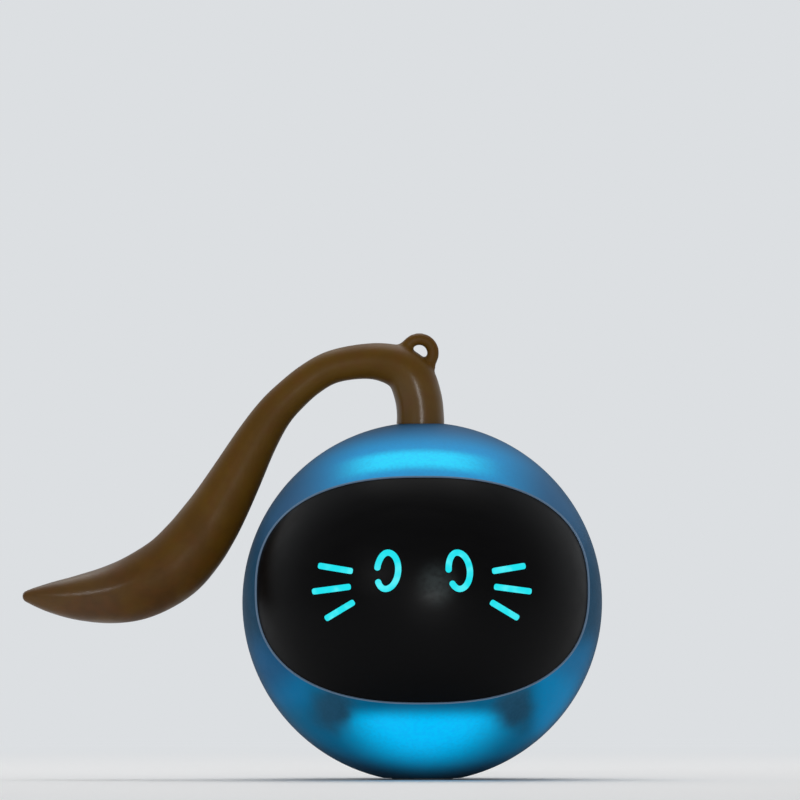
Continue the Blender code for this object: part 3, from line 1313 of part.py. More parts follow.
def top_deck():
    """Clamped by the upper shell screws; its column carries the tail's collar."""
    overlap = TOP_DECK_THICKNESS / 2
    outline = clipped_disc(TOP_DECK_RADIUS, TOP_DECK_FRONT_Y, TOP_DECK_REAR_Y)
    deck = prism([outline], TOP_DECK_BOTTOM_Z, TOP_DECK_TOP_Z)
    body = piece("top_deck", deck, GREY_PLASTIC)
    inside = tool("top_deck_trimmer", ball(BALL_RADIUS - SHELL_WALL - TOUCH_GAP, INNER_ARC_STEPS))
    half = EAR_THICKNESS / 2
    for side, word in FACE_SIDES:
        x = side * UPPER_POST_X
        outline = lug_outline(TOP_EAR_HALF_WIDTH, x, UPPER_POST_Z, TOP_DECK_TOP_Z - overlap)
        ear = tool(f"top_ear_{word}", prism([outline], -half, half, "Y"))
        join(body, keep_inside(ear, inside))
        hole = screw_hole((-half - CUT_OVERRUN, half + CUT_OVERRUN), (x, UPPER_POST_Z))
        cut(body, tool(f"top_ear_hole_{word}", hole))
        rib_x = side * UPPER_RIB_X
        rib = block(
            (rib_x - UPPER_RIB_WIDTH / 2, UPPER_RIB_FRONT_Y, TOP_DECK_TOP_Z - overlap),
            (
                rib_x + UPPER_RIB_WIDTH / 2,
                UPPER_RIB_FRONT_Y + UPPER_RIB_DEPTH,
                TOP_DECK_TOP_Z + UPPER_RIB_HEIGHT,
            ),
        )
        join(body, tool(f"upper_rib_{word}", rib))
        keeper_x = MOTOR_X + side * (MOTOR_RADIUS + TOUCH_GAP + SOCKET_WALL / 2)
        keeper = block(
            (
                keeper_x - SOCKET_WALL / 2,
                MOTOR_Y + KEEPER_FRONT,
                TOP_DECK_BOTTOM_Z - KEEPER_DROP,
            ),
            (keeper_x + SOCKET_WALL / 2, MOTOR_Y + KEEPER_REAR, TOP_DECK_BOTTOM_Z + overlap),
        )
        join(body, tool(f"motor_keeper_{word}", keeper))
    column_top = COLLAR_FLANGE_TOP_Z - COLLAR_FLANGE_THICKNESS - TOUCH_GAP
    column = bar(COLUMN_RADIUS, TOP_DECK_BOTTOM_Z + overlap / 2, column_top, sides=20)
    join(body, tool("collar_column", column))
    bore = bar(COLUMN_BORE_RADIUS, TOP_DECK_BOTTOM_Z - CUT_OVERRUN, column_top + CUT_OVERRUN)
    return cut(body, tool("column_bore", bore))


def glow_board(name, half_width, bottom, top, back):
    """An upright board and the LED on its front, which shines on the inside of the shell."""
    front = back - GLOW_BOARD_THICKNESS
    board = block((-half_width, front, bottom), (half_width, back, top))
    piece(f"{name}_glow_board", board, CIRCUIT_BOARD)
    middle = (bottom + top) / 2
    led = block(
        (-GLOW_LED_WIDTH / 2, front - TOUCH_GAP - GLOW_LED_DEPTH, middle - GLOW_LED_HEIGHT / 2),
        (GLOW_LED_WIDTH / 2, front - TOUCH_GAP, middle + GLOW_LED_HEIGHT / 2),
        LED_DEPTH / 4,
    )
    piece(f"{name}_glow_led", led, LED_PACKAGE)


# Control board, charging port and power button


def control_board():
    outline = rounded_rectangle(
        (-CONTROL_BOARD_HALF_WIDTH, CONTROL_BOARD_BOTTOM_Z),
        (CONTROL_BOARD_HALF_WIDTH, CONTROL_BOARD_TOP_Z),
        CONTROL_BOARD_CORNER,
    )
    holes = [circle(SCREW_HOLE_RADIUS, HOLE_SIDES, (side * BOARD_POST_X, BOARD_POST_Z)) for side in (-1, 1)]
    board = prism([outline, *holes], CONTROL_BOARD_FRONT_Y, CONTROL_BOARD_BACK_Y, "Y")
    piece("control_board", board, CIRCUIT_BOARD)
    for side, word in FACE_SIDES:
        seat = CONTROL_BOARD_FRONT_Y - TOUCH_GAP
        place = (side * BOARD_POST_X, BOARD_POST_Z)
        piece(f"board_screw_{word}", screw_mesh(seat, BOARD_SCREW_REACH, place, towards=1), STEEL)
    sensor_y = CONTROL_BOARD_FRONT_Y - TOUCH_GAP - SENSOR_RADIUS
    sensor = bar(
        SENSOR_RADIUS, -SENSOR_HALF_LENGTH, SENSOR_HALF_LENGTH, (sensor_y, SENSOR_Z), "X", 20
    )
    piece("motion_sensor", sensor, BRASS)


def usb_port():
    """A metal-shelled socket that stands on the board, with its tongue inside."""
    low = CONTROL_BOARD_BACK_Y + TOUCH_GAP
    mouth = low + PORT_LENGTH
    rim = rounded_rectangle(
        (-PORT_HALF_WIDTH, PORT_Z - PORT_HALF_HEIGHT),
        (PORT_HALF_WIDTH, PORT_Z + PORT_HALF_HEIGHT),
        PORT_HALF_HEIGHT * CORNER_SHARE,
    )
    inner_width, inner_height = PORT_HALF_WIDTH - PORT_WALL, PORT_HALF_HEIGHT - PORT_WALL
    cavity = rounded_rectangle(
        (-inner_width, PORT_Z - inner_height),
        (inner_width, PORT_Z + inner_height),
        inner_height * CORNER_SHARE,
    )
    body = piece("usb_port", prism([rim], low, mouth, "Y"), STEEL)
    cut(
        body,
        tool("port_cavity", prism([cavity], mouth - PORT_CAVITY_DEPTH, mouth + CUT_OVERRUN, "Y")),
    )
    tongue = block(
        (
            -PORT_TONGUE_HALF_WIDTH,
            mouth - PORT_CAVITY_DEPTH - PORT_WALL,
            PORT_Z - PORT_TONGUE_HALF_HEIGHT,
        ),
        (PORT_TONGUE_HALF_WIDTH, mouth - PORT_TONGUE_SET_BACK, PORT_Z + PORT_TONGUE_HALF_HEIGHT),
    )
    return join(body, tool("port_tongue", tongue))


def power_button():
    """The cap in the rear shell, the switch on the board and the switch's plunger."""
    low = CONTROL_BOARD_BACK_Y + TOUCH_GAP
    switch_face = low + SWITCH_DEPTH
    switch = block(
        (-SWITCH_HALF_SIDE, low, BUTTON_Z - SWITCH_HALF_SIDE),
        (SWITCH_HALF_SIDE, switch_face, BUTTON_Z + SWITCH_HALF_SIDE),
    )
    body = piece("button_switch", switch, BLACK_PLASTIC)
    plunger_root = switch_face - PLUNGER_ROOT
    well = bar(
        PLUNGER_RADIUS + RUNNING_GAP,
        plunger_root - BUTTON_TRAVEL - TOUCH_GAP,
        switch_face + CUT_OVERRUN,
        (0, BUTTON_Z),
        "Y",
        20,
    )
    cut(body, tool("plunger_well", well))
    plunger_face = switch_face + PLUNGER_PROUD
    plunger = bar(PLUNGER_RADIUS, plunger_root, plunger_face, (0, 0), "Y", 20)
    piece("switch_plunger", plunger, GREY_PLASTIC, BUTTON_AXIS)
    inner_wall = math.sqrt(
        (BALL_RADIUS - SHELL_WALL) ** 2 - (BUTTON_Z + BUTTON_FLANGE_RADIUS) ** 2
    )
    flange_face = inner_wall - TOUCH_GAP
    profile = [
        (0, plunger_face + TOUCH_GAP),
        (BUTTON_STEM_RADIUS, plunger_face + TOUCH_GAP),
        (BUTTON_STEM_RADIUS, flange_face - BUTTON_FLANGE_THICKNESS),
        (BUTTON_FLANGE_RADIUS, flange_face - BUTTON_FLANGE_THICKNESS),
        (BUTTON_FLANGE_RADIUS, flange_face),
        (BUTTON_RADIUS, flange_face),
        (BUTTON_RADIUS, BALL_RADIUS + CUT_OVERRUN),
        (0, BALL_RADIUS + CUT_OVERRUN),
    ]
    # Turning to Y takes a height on the profile to minus Y
    cap = turned([(radius, -along) for radius, along in profile], 22, "Y")
    button = piece("power_button", cap, WHITE_PLASTIC, BUTTON_AXIS)
    # The cap's face follows the ball, a little proud of it so that a finger finds it
    keep_inside(button, tool("button_face", ball(BALL_RADIUS + BUTTON_PROUD, SHELL_ARC_STEPS)))


def battery_leads():
    """Two wires from the battery's rear edge, under the frame and up behind the control board."""
    battery_z = BATTERY_TOP_Z - BATTERY_HEIGHT / 2
    start_y = BATTERY_HALF_DEPTH + TOUCH_GAP
    bend_y = LOWER_PLATE_REAR_Y + LEAD_BEND
    back_y = CONTROL_BOARD_BACK_Y + TOUCH_GAP + LEAD_RADIUS
    route = (
        (start_y, battery_z),
        (start_y + LEAD_BEND / 2, battery_z),
        (LOWER_PLATE_REAR_Y, battery_z),
        (bend_y, battery_z + LEAD_BEND / 3),
        (back_y - LEAD_BEND / 2, LOWER_PLATE_BOTTOM_Z - LEAD_BEND / 3),
        (back_y, LOWER_PLATE_BOTTOM_Z + LEAD_BEND / 2),
        (back_y, CONTROL_BOARD_BOTTOM_Z),
        (back_y, CONTROL_BOARD_BOTTOM_Z + LEAD_BEND / 2),
    )
    for side, word, finish in ((-1, "red", RED_LEAD), (1, "black", BLACK_LEAD)):
        x = side * LEAD_SPACING
        line = smooth_line([(x, y, z) for y, z in route], 2)
        piece(f"battery_lead_{word}", swept(line, [LEAD_RADIUS] * len(line), 1), finish)


# Tail


def tail_collar():
    low = COLLAR_FLANGE_TOP_Z - COLLAR_FLANGE_THICKNESS
    profile = [
        (COLLAR_BORE_RADIUS, low),
        (COLLAR_FLANGE_RADIUS, low),
        (COLLAR_FLANGE_RADIUS, COLLAR_FLANGE_TOP_Z - TOUCH_GAP),
        (COLLAR_NECK_RADIUS, COLLAR_FLANGE_TOP_Z - TOUCH_GAP),
        (COLLAR_NECK_RADIUS, COLLAR_TOP_Z),
        (COLLAR_BORE_RADIUS, COLLAR_TOP_Z),
    ]
    return piece("tail_collar", turned(profile, 22, closed=True), BLACK_PLASTIC)


def tail_stem():
    """Snaps into the collar from above and turns in it; the barbs hold the tail."""
    snap_top = COLLAR_FLANGE_TOP_Z - COLLAR_FLANGE_THICKNESS - TOUCH_GAP
    shoulder = COLLAR_TOP_Z + TOUCH_GAP
    shoulder_top = shoulder + STEM_SHOULDER_THICKNESS
    barb_top = STEM_TOP_Z - STEM_RADIUS / 3
    barb_bottom = barb_top - STEM_BARB_HEIGHT
    profile = [
        (0, snap_top - STEM_SNAP_HEIGHT),
        (STEM_RADIUS, snap_top - STEM_SNAP_HEIGHT),
        (STEM_SNAP_RADIUS, snap_top - STEM_SNAP_HEIGHT / 3),
        (STEM_SNAP_RADIUS, snap_top),
        (STEM_RADIUS, snap_top),
        (STEM_RADIUS, shoulder),
        (STEM_SHOULDER_RADIUS, shoulder),
        (STEM_SHOULDER_RADIUS, shoulder_top),
        (STEM_RADIUS, shoulder_top),
        (STEM_RADIUS, barb_bottom),
        (STEM_BARB_RADIUS, barb_bottom),
        (STEM_RADIUS * STEM_TAPER_SHARE, barb_top),
        (STEM_RADIUS * STEM_TIP_SHARE, STEM_TOP_Z),
        (0, STEM_TOP_Z),
    ]
    lowered = [(radius, along - TAIL_BASE_Z) for radius, along in profile]
    return piece("tail_stem", turned(lowered, 18), WHITE_PLASTIC, TAIL_AXIS)


def tail_stations(shares):
    """Place and radius at each station: the tail hangs to the left, in the plane of the visor's middle."""
    return [(-out * TAIL_REACH, 0, up * TAIL_HEIGHT, thick * TAIL_GIRTH) for out, up, thick in shares]


def tail():
    line = smooth_line(tail_stations(TAIL_SHARES), TAIL_STEPS_PER_SPAN)
    skin = swept([p[:3] for p in line], [p[3] for p in line], TAIL_SIDES_RESOLUTION)
    body = piece("tail", skin, TAIL_RUBBER, TAIL_AXIS, 60)
    loop = turned(circle(LOOP_WIRE_RADIUS, LOOP_SIDES, (LOOP_RADIUS, 0)), LOOP_STEPS, "Y", closed=True)
    loop.transform(Matrix.Translation((LOOP_X, 0, LOOP_RISE)))
    join(body, tool("tail_loop", loop, TAIL_AXIS))
    hollow = smooth_line(tail_stations(TAIL_SHARES[:HOLLOW_STATIONS]), BORE_STEPS_PER_SPAN)
    mouth = Vector((0, 0, -CUT_OVERRUN))
    inner_line = [mouth] + [Vector(p[:3]) for p in hollow]
    inner_radii = [hollow[0][3] - TAIL_WALL] + [p[3] - TAIL_WALL for p in hollow]
    bore = tool("tail_hollow", swept(inner_line, inner_radii, TAIL_BORE_RESOLUTION), TAIL_AXIS)
    return cut(body, bore)


def build():
    front_shell()
    rear_shell()
    for label, (x, z, _) in zip(POST_NAMES, POSTS):
        shell_screw(label, x, z)
    foot_pad()
    visor()
    face_lights()
    face_light_box()
    face_board()
    ballast()
    battery()
    lower_frame()
    rotor_weight()
    rotor_gear()
    rotor_shaft()
    rotor_clip()
    bushing("lower_bushing", LOWER_PLATE_BOTTOM_Z, LOWER_PLATE_BOTTOM_Z + LOWER_PLATE_THICKNESS, 1)
    bushing("upper_bushing", MOTOR_PLATE_BOTTOM_Z, MOTOR_PLATE_BOTTOM_Z + MOTOR_PLATE_THICKNESS, -1)
    idler_gear()
    idler_axle()
    motor_plate()
    motor()
    top_deck()
    glow_board(
        "upper",
        UPPER_GLOW_HALF_WIDTH,
        TOP_DECK_TOP_Z + TOUCH_GAP,
        TOP_DECK_TOP_Z + TOUCH_GAP + UPPER_GLOW_HEIGHT,
        UPPER_RIB_FRONT_Y - TOUCH_GAP,
    )
    glow_board(
        "lower",
        LOWER_GLOW_HALF_WIDTH,
        LOWER_PLATE_BOTTOM_Z - TOUCH_GAP - LOWER_GLOW_HEIGHT,
        LOWER_PLATE_BOTTOM_Z - TOUCH_GAP,
        LOWER_RIB_FRONT_Y - TOUCH_GAP,
    )
    control_board()
    usb_port()
    power_button()
    battery_leads()
    tail_collar()
    tail_stem()
    tail()


build()
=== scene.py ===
# %% [markdown]
# # A self-rolling cat ball
# The object is a toy ball that rolls about by itself for a cat. Its casing is milky plastic, lit
# blue from inside. A gloss black face is let into the front, with two eyes and six whiskers that
# glow. A soft brown tail with a small loop is pushed on at the top.
#
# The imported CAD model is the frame: it holds every part at its place and moves it at its joints.
# This script gives the hidden parts materials, and makes the visible ones again as smooth pieces,
# each in the room of the CAD part that it stands for.

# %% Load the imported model
import math

import bmesh
import bpy
from mathutils import Matrix, Vector


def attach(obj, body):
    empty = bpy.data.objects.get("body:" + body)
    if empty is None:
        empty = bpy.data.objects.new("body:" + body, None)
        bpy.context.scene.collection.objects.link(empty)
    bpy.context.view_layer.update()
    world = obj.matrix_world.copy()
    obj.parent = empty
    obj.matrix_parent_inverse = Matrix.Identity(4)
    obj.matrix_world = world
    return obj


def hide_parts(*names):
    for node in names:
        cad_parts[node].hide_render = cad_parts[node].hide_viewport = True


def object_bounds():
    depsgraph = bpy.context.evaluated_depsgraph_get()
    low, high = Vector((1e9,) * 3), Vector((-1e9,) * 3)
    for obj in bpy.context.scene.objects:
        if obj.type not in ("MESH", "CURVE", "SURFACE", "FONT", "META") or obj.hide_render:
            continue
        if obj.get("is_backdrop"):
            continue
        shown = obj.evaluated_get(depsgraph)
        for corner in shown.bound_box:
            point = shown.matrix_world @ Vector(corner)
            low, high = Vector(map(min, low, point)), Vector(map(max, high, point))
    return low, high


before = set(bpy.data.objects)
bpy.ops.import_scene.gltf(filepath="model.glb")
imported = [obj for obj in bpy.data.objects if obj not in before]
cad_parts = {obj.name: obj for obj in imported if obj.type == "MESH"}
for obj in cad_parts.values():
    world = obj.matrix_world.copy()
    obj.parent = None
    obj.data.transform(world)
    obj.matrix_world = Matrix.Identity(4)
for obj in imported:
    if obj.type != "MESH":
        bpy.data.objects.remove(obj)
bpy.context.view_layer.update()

# %% [markdown]
# ## Sizes
# Blender counts in metres, and this toy is measured in millimetres, so every length is written
# times `mm`. Places on the ball are given from its centre. The ball stands on a small flat foot, so
# its centre is a little less than one radius above the floor.

# %% Sizes that several pieces share
mm = 0.001
BALL_RADIUS = 37 * mm
FOOT_RADIUS = 6.4 * mm
WALL = 1.8 * mm
CENTRE = Vector((0, 0, math.sqrt(BALL_RADIUS**2 - FOOT_RADIUS**2)))
SCREW_PLACES = ((-19.0, -22.5), (19.0, -22.5), (-20.5, 26.0), (20.5, 26.0))
# The face's opening: half its width and height, its middle's height and its squareness
OPENING, FACE_Z, SQUARENESS = (34.2, 23.2), 2.5, 2.45
print("ball centre is", round(CENTRE.z / mm, 2), "mm above the floor")

# %% [markdown]
# ## Colours and nodes
# Colours are picked as sRGB hex values, but Blender's nodes count in linear light, so one function
# turns the first into the second. Another adds a node with its settings and links. The others build
# patterns of several nodes: a region with soft edges, patches, a distance, and layers of colour.

# %% Colours, sockets and nodes
def linear(hex_colour):
    """An sRGB hex colour as linear red, green, blue and an alpha of 1."""
    channels = [int(hex_colour[i : i + 2], 16) / 255 for i in (1, 3, 5)]
    light = [c / 12.92 if c <= 0.04045 else ((c + 0.055) / 1.055) ** 2.4 for c in channels]
    return (*light, 1.0)


def feed(node, inputs):
    """Gives a node's sockets their values, which may be numbers, colours, sockets or nodes."""
    for name, value in inputs.items():
        if isinstance(value, bpy.types.Node):
            value = next(socket for socket in value.outputs if socket.enabled)
        if isinstance(value, bpy.types.NodeSocket):
            node.id_data.links.new(value, node.inputs[name])
        else:
            node.inputs[name].default_value = value


def add_node(material, kind, inputs, **settings):
    """Adds one node with its settings, and feeds it."""
    made = material.node_tree.nodes.new("ShaderNode" + kind)
    for name, value in settings.items():
        setattr(made, name, value)
    feed(made, inputs)
    return made


print("sRGB #808080 is", round(linear("#808080")[0], 3), "in linear light")

# %% A new material
def new_material(name, hex_colour, roughness, inputs=None):
    """A material, its Principled shader, and Object coordinates in mm from the ball's centre."""
    made = bpy.data.materials.new(name)
    made.use_nodes = True
    shader = made.node_tree.nodes["Principled BSDF"]
    feed(shader, {"Base Color": linear(hex_colour), "Roughness": roughness, **(inputs or {})})
    coords = add_node(made, "TexCoord", {})
    centred = {"Vector": coords.outputs["Object"], "Location": -CENTRE / mm, "Scale": (1 / mm,) * 3}
    return made, shader, add_node(made, "Mapping", centred)


print("patterns are centred", round(CENTRE.z / mm, 2), "mm up")

# %% Patterns from several nodes
def region(material, edges):
    """How far a point lies inside soft edges, each a value and where it counts 0 and 1."""
    share = None
    for value, outside, inside in edges:
        step = {"Value": value, "From Min": outside, "From Max": inside}
        step = add_node(material, "MapRange", step, interpolation_type="SMOOTHERSTEP")
        if share is None:
            share = step
        else:
            share = add_node(material, "Math", {0: share, 1: step}, operation="MULTIPLY")
    return share


def patches(material, place, size, detail, outside, inside):
    """Soft patches of a size in mm, from noise between two edges."""
    noise = add_node(material, "TexNoise", {"Vector": place, "Scale": 1 / size, "Detail": detail})
    return region(material, [(noise, outside, inside)])


def distance_from(material, place, middle, reach):
    """How far a point lies from a middle, counted in reaches in mm along each axis."""
    unit = {"Vector": place, "Location": middle, "Scale": reach}
    placed = add_node(material, "Mapping", unit, vector_type="TEXTURE")
    return add_node(material, "VectorMath", {0: placed}, operation="LENGTH").outputs["Value"]


def layered(material, base, layers, blend="MIX"):
    """A base colour under layers, each a share and a hex colour."""
    for share, hex_colour in layers:
        inputs = {0: share, 6: base, 7: linear(hex_colour)}
        base = add_node(material, "Mix", inputs, data_type="RGBA", blend_type=blend)
    return base


print("four pattern helpers are ready")

# %% [markdown]
# ## Milky plastic, lit from inside
# The casing is moulded ABS made milky with a little white pigment, thin enough for blue LEDs to
# shine through. Light that scatters in a thin wall renders slowly and with noise, so it is painted
# as emission instead. Its places follow the inside: a board of LEDs behind the bottom, another
# above the face, and screw posts that throw soft shadows on the wall.

# %% Ways to measure a place on the casing
# From a sparked mould: a dull even skin, with hardly any mirror
milky, milky_shader, place = new_material(
    "milky_abs_moulded", "#1c4662", 0.55, {"Specular IOR Level": 0.035, "Emission Strength": 1.0}
)
axes = add_node(milky, "SeparateXYZ", {"Vector": place})
across = add_node(milky, "Math", {0: axes.outputs["X"]}, operation="ABSOLUTE")
depth, height = axes.outputs["Y"], axes.outputs["Z"]
# A height that falls off to the sides, as the light above the face bends down
squared = add_node(milky, "Math", {0: across, 1: 2.0}, operation="POWER")
arch = add_node(milky, "Math", {0: squared, 1: 0.0085, 2: height}, operation="MULTIPLY_ADD")
# How far out a point lies from the face's middle, with the opening's edge at 1
above = add_node(milky, "Math", {0: height, 1: FACE_Z}, operation="SUBTRACT")
above = add_node(milky, "Math", {0: above}, operation="ABSOLUTE")
shares = []
for value, half_size in zip((across, above), OPENING):
    share = add_node(milky, "Math", {0: value, 1: half_size}, operation="DIVIDE")
    shares.append(add_node(milky, "Math", {0: share, 1: SQUARENESS}, operation="POWER"))
outward = add_node(milky, "Math", {0: shares[0], 1: shares[1]}, operation="ADD")
# The opening's eased edge, about a tenth of a millimetre wide, gets a painted highlight, a paler
# colour and a faint glow, where it catches the light
rim_highlight = region(milky, [(outward, 1.013, 1.004), (depth, -9.0, -12.0)])
print("casing places:", len(milky.node_tree.nodes), "nodes")

# %% The light that comes through the casing
# A reach so long that its axis doesn't count
ANY = 1000
FROM_FRONT, FROM_SIDE = (depth, 6.0, -10.0), (depth, 1, -14)
# The lower board lights a wide window, which fades downwards
from_board = distance_from(milky, place, (0.4, 0, -22), (23, ANY, 15))
window = region(milky, [(height, -20.2, -25.2), (from_board, 1.0, 0.3), FROM_FRONT])
# The rest of its light spreads along the wall to both sides
past_board = distance_from(milky, place, (1.5, 0, -21), (39, ANY, 15))
spread = region(milky, [(height, -7, -18), (past_board, 1.0, 0.65), FROM_SIDE])
# The upper board makes a narrow bright strip above the face, in a wide glow
from_strip = distance_from(milky, place, (-1.2, 0, 28), (20, ANY, ANY))
strip = region(milky, [(arch, 32.0, 29.9), (arch, 26.2, 28.9), (from_strip, 1.0, 0.25), FROM_FRONT])
glow = region(milky, [(arch, 37.0, 30.5), (arch, 21.0, 27.5), (across, 30, 8), FROM_FRONT])
# Past the screw posts light reaches the wall again, more of it on the right
side = axes.outputs["X"]
right_wall = region(milky, [(side, 20, 26), (height, -3, -13), (height, -31, -24), FROM_SIDE])
left_wall = region(milky, [(side, -20, -27), (height, -3, -13), (height, -25, -18), FROM_SIDE])
# Above the face's middle the wall is painted a little brighter, as painted light on the upper wall
upper = region(milky, [(height, 3, 22), (depth, 4, -14)])
# The two lower screw posts throw shadows that are a little ragged
wobble = add_node(milky, "TexNoise", {"Vector": place, "Scale": 1 / 5, "Detail": 2.0})
wobble = {0: wobble.outputs["Color"], "Scale": 3.2}
wobble = add_node(milky, "VectorMath", wobble, operation="SCALE")
near_wall = add_node(milky, "VectorMath", {0: place, 1: wobble}, operation="ADD")
post_reach = (5.7, ANY, 6.6)
left_post = distance_from(milky, near_wall, (-16.6, 0, -20.2), post_reach)
right_post = distance_from(milky, near_wall, (20.2, 0, -20.0), post_reach)
posts = add_node(milky, "Math", {0: left_post, 1: right_post}, operation="MINIMUM")
post_shadow = region(milky, [(posts, 1.1, 0.2), FROM_FRONT])
print("casing light:", len(milky.node_tree.nodes), "nodes")

# %% The casing's colour, with painted light and shade
# Milky plastic has broad clouds of 9 mm, and specks of pigment that are finer than 0.2 mm and are
# drawn 0.7 mm wide, so that they show
clouds = patches(milky, place, 9, 2.0, 0.3, 0.7)
thin_clouds = add_node(milky, "Math", {0: clouds, 1: 0.08}, operation="MULTIPLY")
specks = patches(milky, place, 0.7, 3.0, 0.38, 0.66)
thin_specks = add_node(milky, "Math", {0: specks, 1: 0.07}, operation="MULTIPLY")
# Over the plastic's own colour, clouds and specks lie painted light, the posts' painted shadows and
# the edge's painted highlight
body_colour = layered(
    milky,
    linear("#1c4662"),
    [
        (upper, "#3d668d"), (spread, "#02435f"), (window, "#057db0"), (glow, "#33729e"),
        (post_shadow, "#1f465f"), (thin_clouds, "#3f7ba3"), (thin_specks, "#3f7ba3"),
        (rim_highlight, "#6a8099"),
    ],
)
print("casing colour:", len(milky.node_tree.nodes), "nodes")

# %% The sum of the light, and the casing's fine surface
light_sum = layered(
    milky,
    linear("#000000"),
    [
        (window, "#009ec9"), (spread, "#004663"), (right_wall, "#004d73"),
        (left_wall, "#003355"), (glow, "#0070a0"), (strip, "#00a4a6"),
    ],
    "ADD",
)
# The posts' painted shadows and the edge's faint painted highlight, in the glow as well
light_sum = layered(milky, light_sum, [(post_shadow, "#05202b"), (rim_highlight, "#12202a")])
light_sum = layered(milky, light_sum, [(specks, "#eef1f3")], "MULTIPLY")
# The sparked mould leaves a grain finer than 0.1 mm, drawn as 0.3 mm so that it shows
grain = add_node(milky, "TexNoise", {"Vector": place, "Scale": 1 / 0.3, "Detail": 2.0})
bump = add_node(milky, "Bump", {"Height": grain, "Strength": 0.25, "Distance": 0.02 * mm})
feed(milky_shader, {"Base Color": body_colour, "Emission Color": light_sum, "Normal": bump})
print("casing material:", len(milky.node_tree.nodes), "nodes")

# %% [markdown]
# ## Gloss black face and its light guides
# The face is ABS moulded in a polished tool, so it is nearly black with an even gloss. Wiping has
# left faint streaks. An image of them would repeat, so noise in the roughness gives them. The eyes
# and whiskers are clear acrylic guides that carry cyan light to the front. Real light in them would
# need many samples, so they glow by themselves, a little unevenly.

# %% The visor's material
# From a polished mould, handled since: deep black with a soft even gloss
black, black_shader, place = new_material(
    "black_abs_polished", "#020203", 0.33, {"Specular IOR Level": 0.09}
)
# Wiping streaks, 14 mm long and 3 mm wide, leave the gloss a little softer
streaks = {"Vector": place, "Rotation": (0, math.radians(35), 0), "Scale": (1 / 14, 1 / 3, 1 / 3)}
streaks = add_node(black, "Mapping", streaks)
streaks = add_node(black, "TexNoise", {"Vector": streaks, "Scale": 1.0, "Detail": 3.0})
softened = {"Value": streaks, "From Min": 0.3, "From Max": 0.7, "To Min": 0.31, "To Max": 0.4}
softened = add_node(black, "MapRange", softened)
# A pale painted reflection of a lamp between the eyes, broken up at 1 mm like a smear
reflection_spots = add_node(black, "TexNoise", {"Vector": place, "Scale": 1.0, "Detail": 4.0})
from_nose = distance_from(black, place, (3.0, 0, 3.8), (5.8, ANY, 6.4))
lamp_reflection = region(black, [(reflection_spots, -0.1, 0.75), (from_nose, 1.0, 0.0)])
visor_colour = layered(black, linear("#020203"), [(lamp_reflection, "#2a3233")])
feed(black_shader, {"Base Color": visor_colour, "Roughness": softened})
print("visor material:", len(black.node_tree.nodes), "nodes")

# %% The light guides' material
# Clear and moulded, lit from behind: an even glow over a faint gloss
acrylic, acrylic_shader, place = new_material(
    "clear_acrylic_lit_cyan",
    "#0a3a40",
    0.25,
    {"IOR": 1.49, "Specular IOR Level": 0.25, "Emission Strength": 1.0},
)
# Where an LED sits behind a guide it is paler, every 2 or 3 mm
uneven = patches(acrylic, place, 2.5, 1.0, 0.4, 0.8)
guide_light = layered(acrylic, linear("#12dfea"), [(uneven, "#54eef5")])
feed(acrylic_shader, {"Emission Color": guide_light})
print("guide material:", len(acrylic.node_tree.nodes), "nodes")

# %% [markdown]
# ## Tail rubber
# The tail is soft thermoplastic rubber, moulded in two halves and pulled off its core. It is dark
# brown and half glossy, with a soft grain, and a fine ridge shows where the halves of the mould
# met. Displaced faces would cost much for a relief of a tenth of a millimetre, so both are a bump.

# %% The tail's colour
# From a matt mould: warm brown and half dull, with slow highlights
rubber, rubber_shader, place = new_material(
    "brown_rubber_moulded", "#573b08", 0.45, {"Specular IOR Level": 0.15, "Coat Roughness": 0.23}
)
axes = add_node(rubber, "SeparateXYZ", {"Vector": place})
out, height = axes.outputs["X"], axes.outputs["Z"]
# Painted shade: the tail is painted darker towards the bottom
shaded_low_part = region(rubber, [(height, 30.0, -6.0)])
# Clouds of 7 mm where the pigment is not quite even
clouds = patches(rubber, place, 7, 3.0, 0.3, 0.7)
thin_clouds = add_node(rubber, "Math", {0: clouds, 1: 0.35}, operation="MULTIPLY")
# and of 3 mm where it is a little redder
red_clouds = patches(rubber, place, 3, 3.0, 0.4, 0.75)
red_clouds = add_node(rubber, "Math", {0: red_clouds, 1: 0.35}, operation="MULTIPLY")
tail_colour = layered(
    rubber,
    linear("#573b08"),
    [(shaded_low_part, "#492d07"), (thin_clouds, "#664910"), (red_clouds, "#5c350d")],
)
print("tail colour:", len(rubber.node_tree.nodes), "nodes")

# %% The tail's gloss and surface
# Hands and paws have polished the stem and the tip, and left the rest duller
stem_end = region(rubber, [(out, -9.0, -3.0), (height, 50.0, 43.0)])
tip_end = region(rubber, [(out, -57.0, -68.0)])
polished = add_node(rubber, "Math", {0: stem_end, 1: tip_end}, operation="MAXIMUM")
polished = add_node(rubber, "Math", {0: polished, 1: 0.38}, operation="MULTIPLY")
dull = add_node(rubber, "MapRange", {"Value": clouds, "To Min": 0.5, "To Max": 0.4})
# The parting ridge is half a millimetre wide, along the tail's middle plane
off_plane = add_node(rubber, "Math", {0: axes.outputs["Y"]}, operation="ABSOLUTE")
ridge = region(rubber, [(off_plane, 0.32, 0.05)])
# The grain is finer than 0.2 mm, and is drawn as 0.6 mm so that it shows
grain = add_node(rubber, "TexNoise", {"Vector": place, "Scale": 1 / 0.6, "Detail": 3.0})
surface = add_node(rubber, "Math", {0: grain, 1: 0.6, 2: ridge}, operation="MULTIPLY_ADD")
bump = add_node(rubber, "Bump", {"Height": surface, "Strength": 0.4, "Distance": 0.1 * mm})
feed(rubber_shader, {"Base Color": tail_colour, "Roughness": dull, "Normal": bump})
feed(rubber_shader, {"Coat Weight": polished, "Coat Normal": bump})
print("tail material:", len(rubber.node_tree.nodes), "nodes")

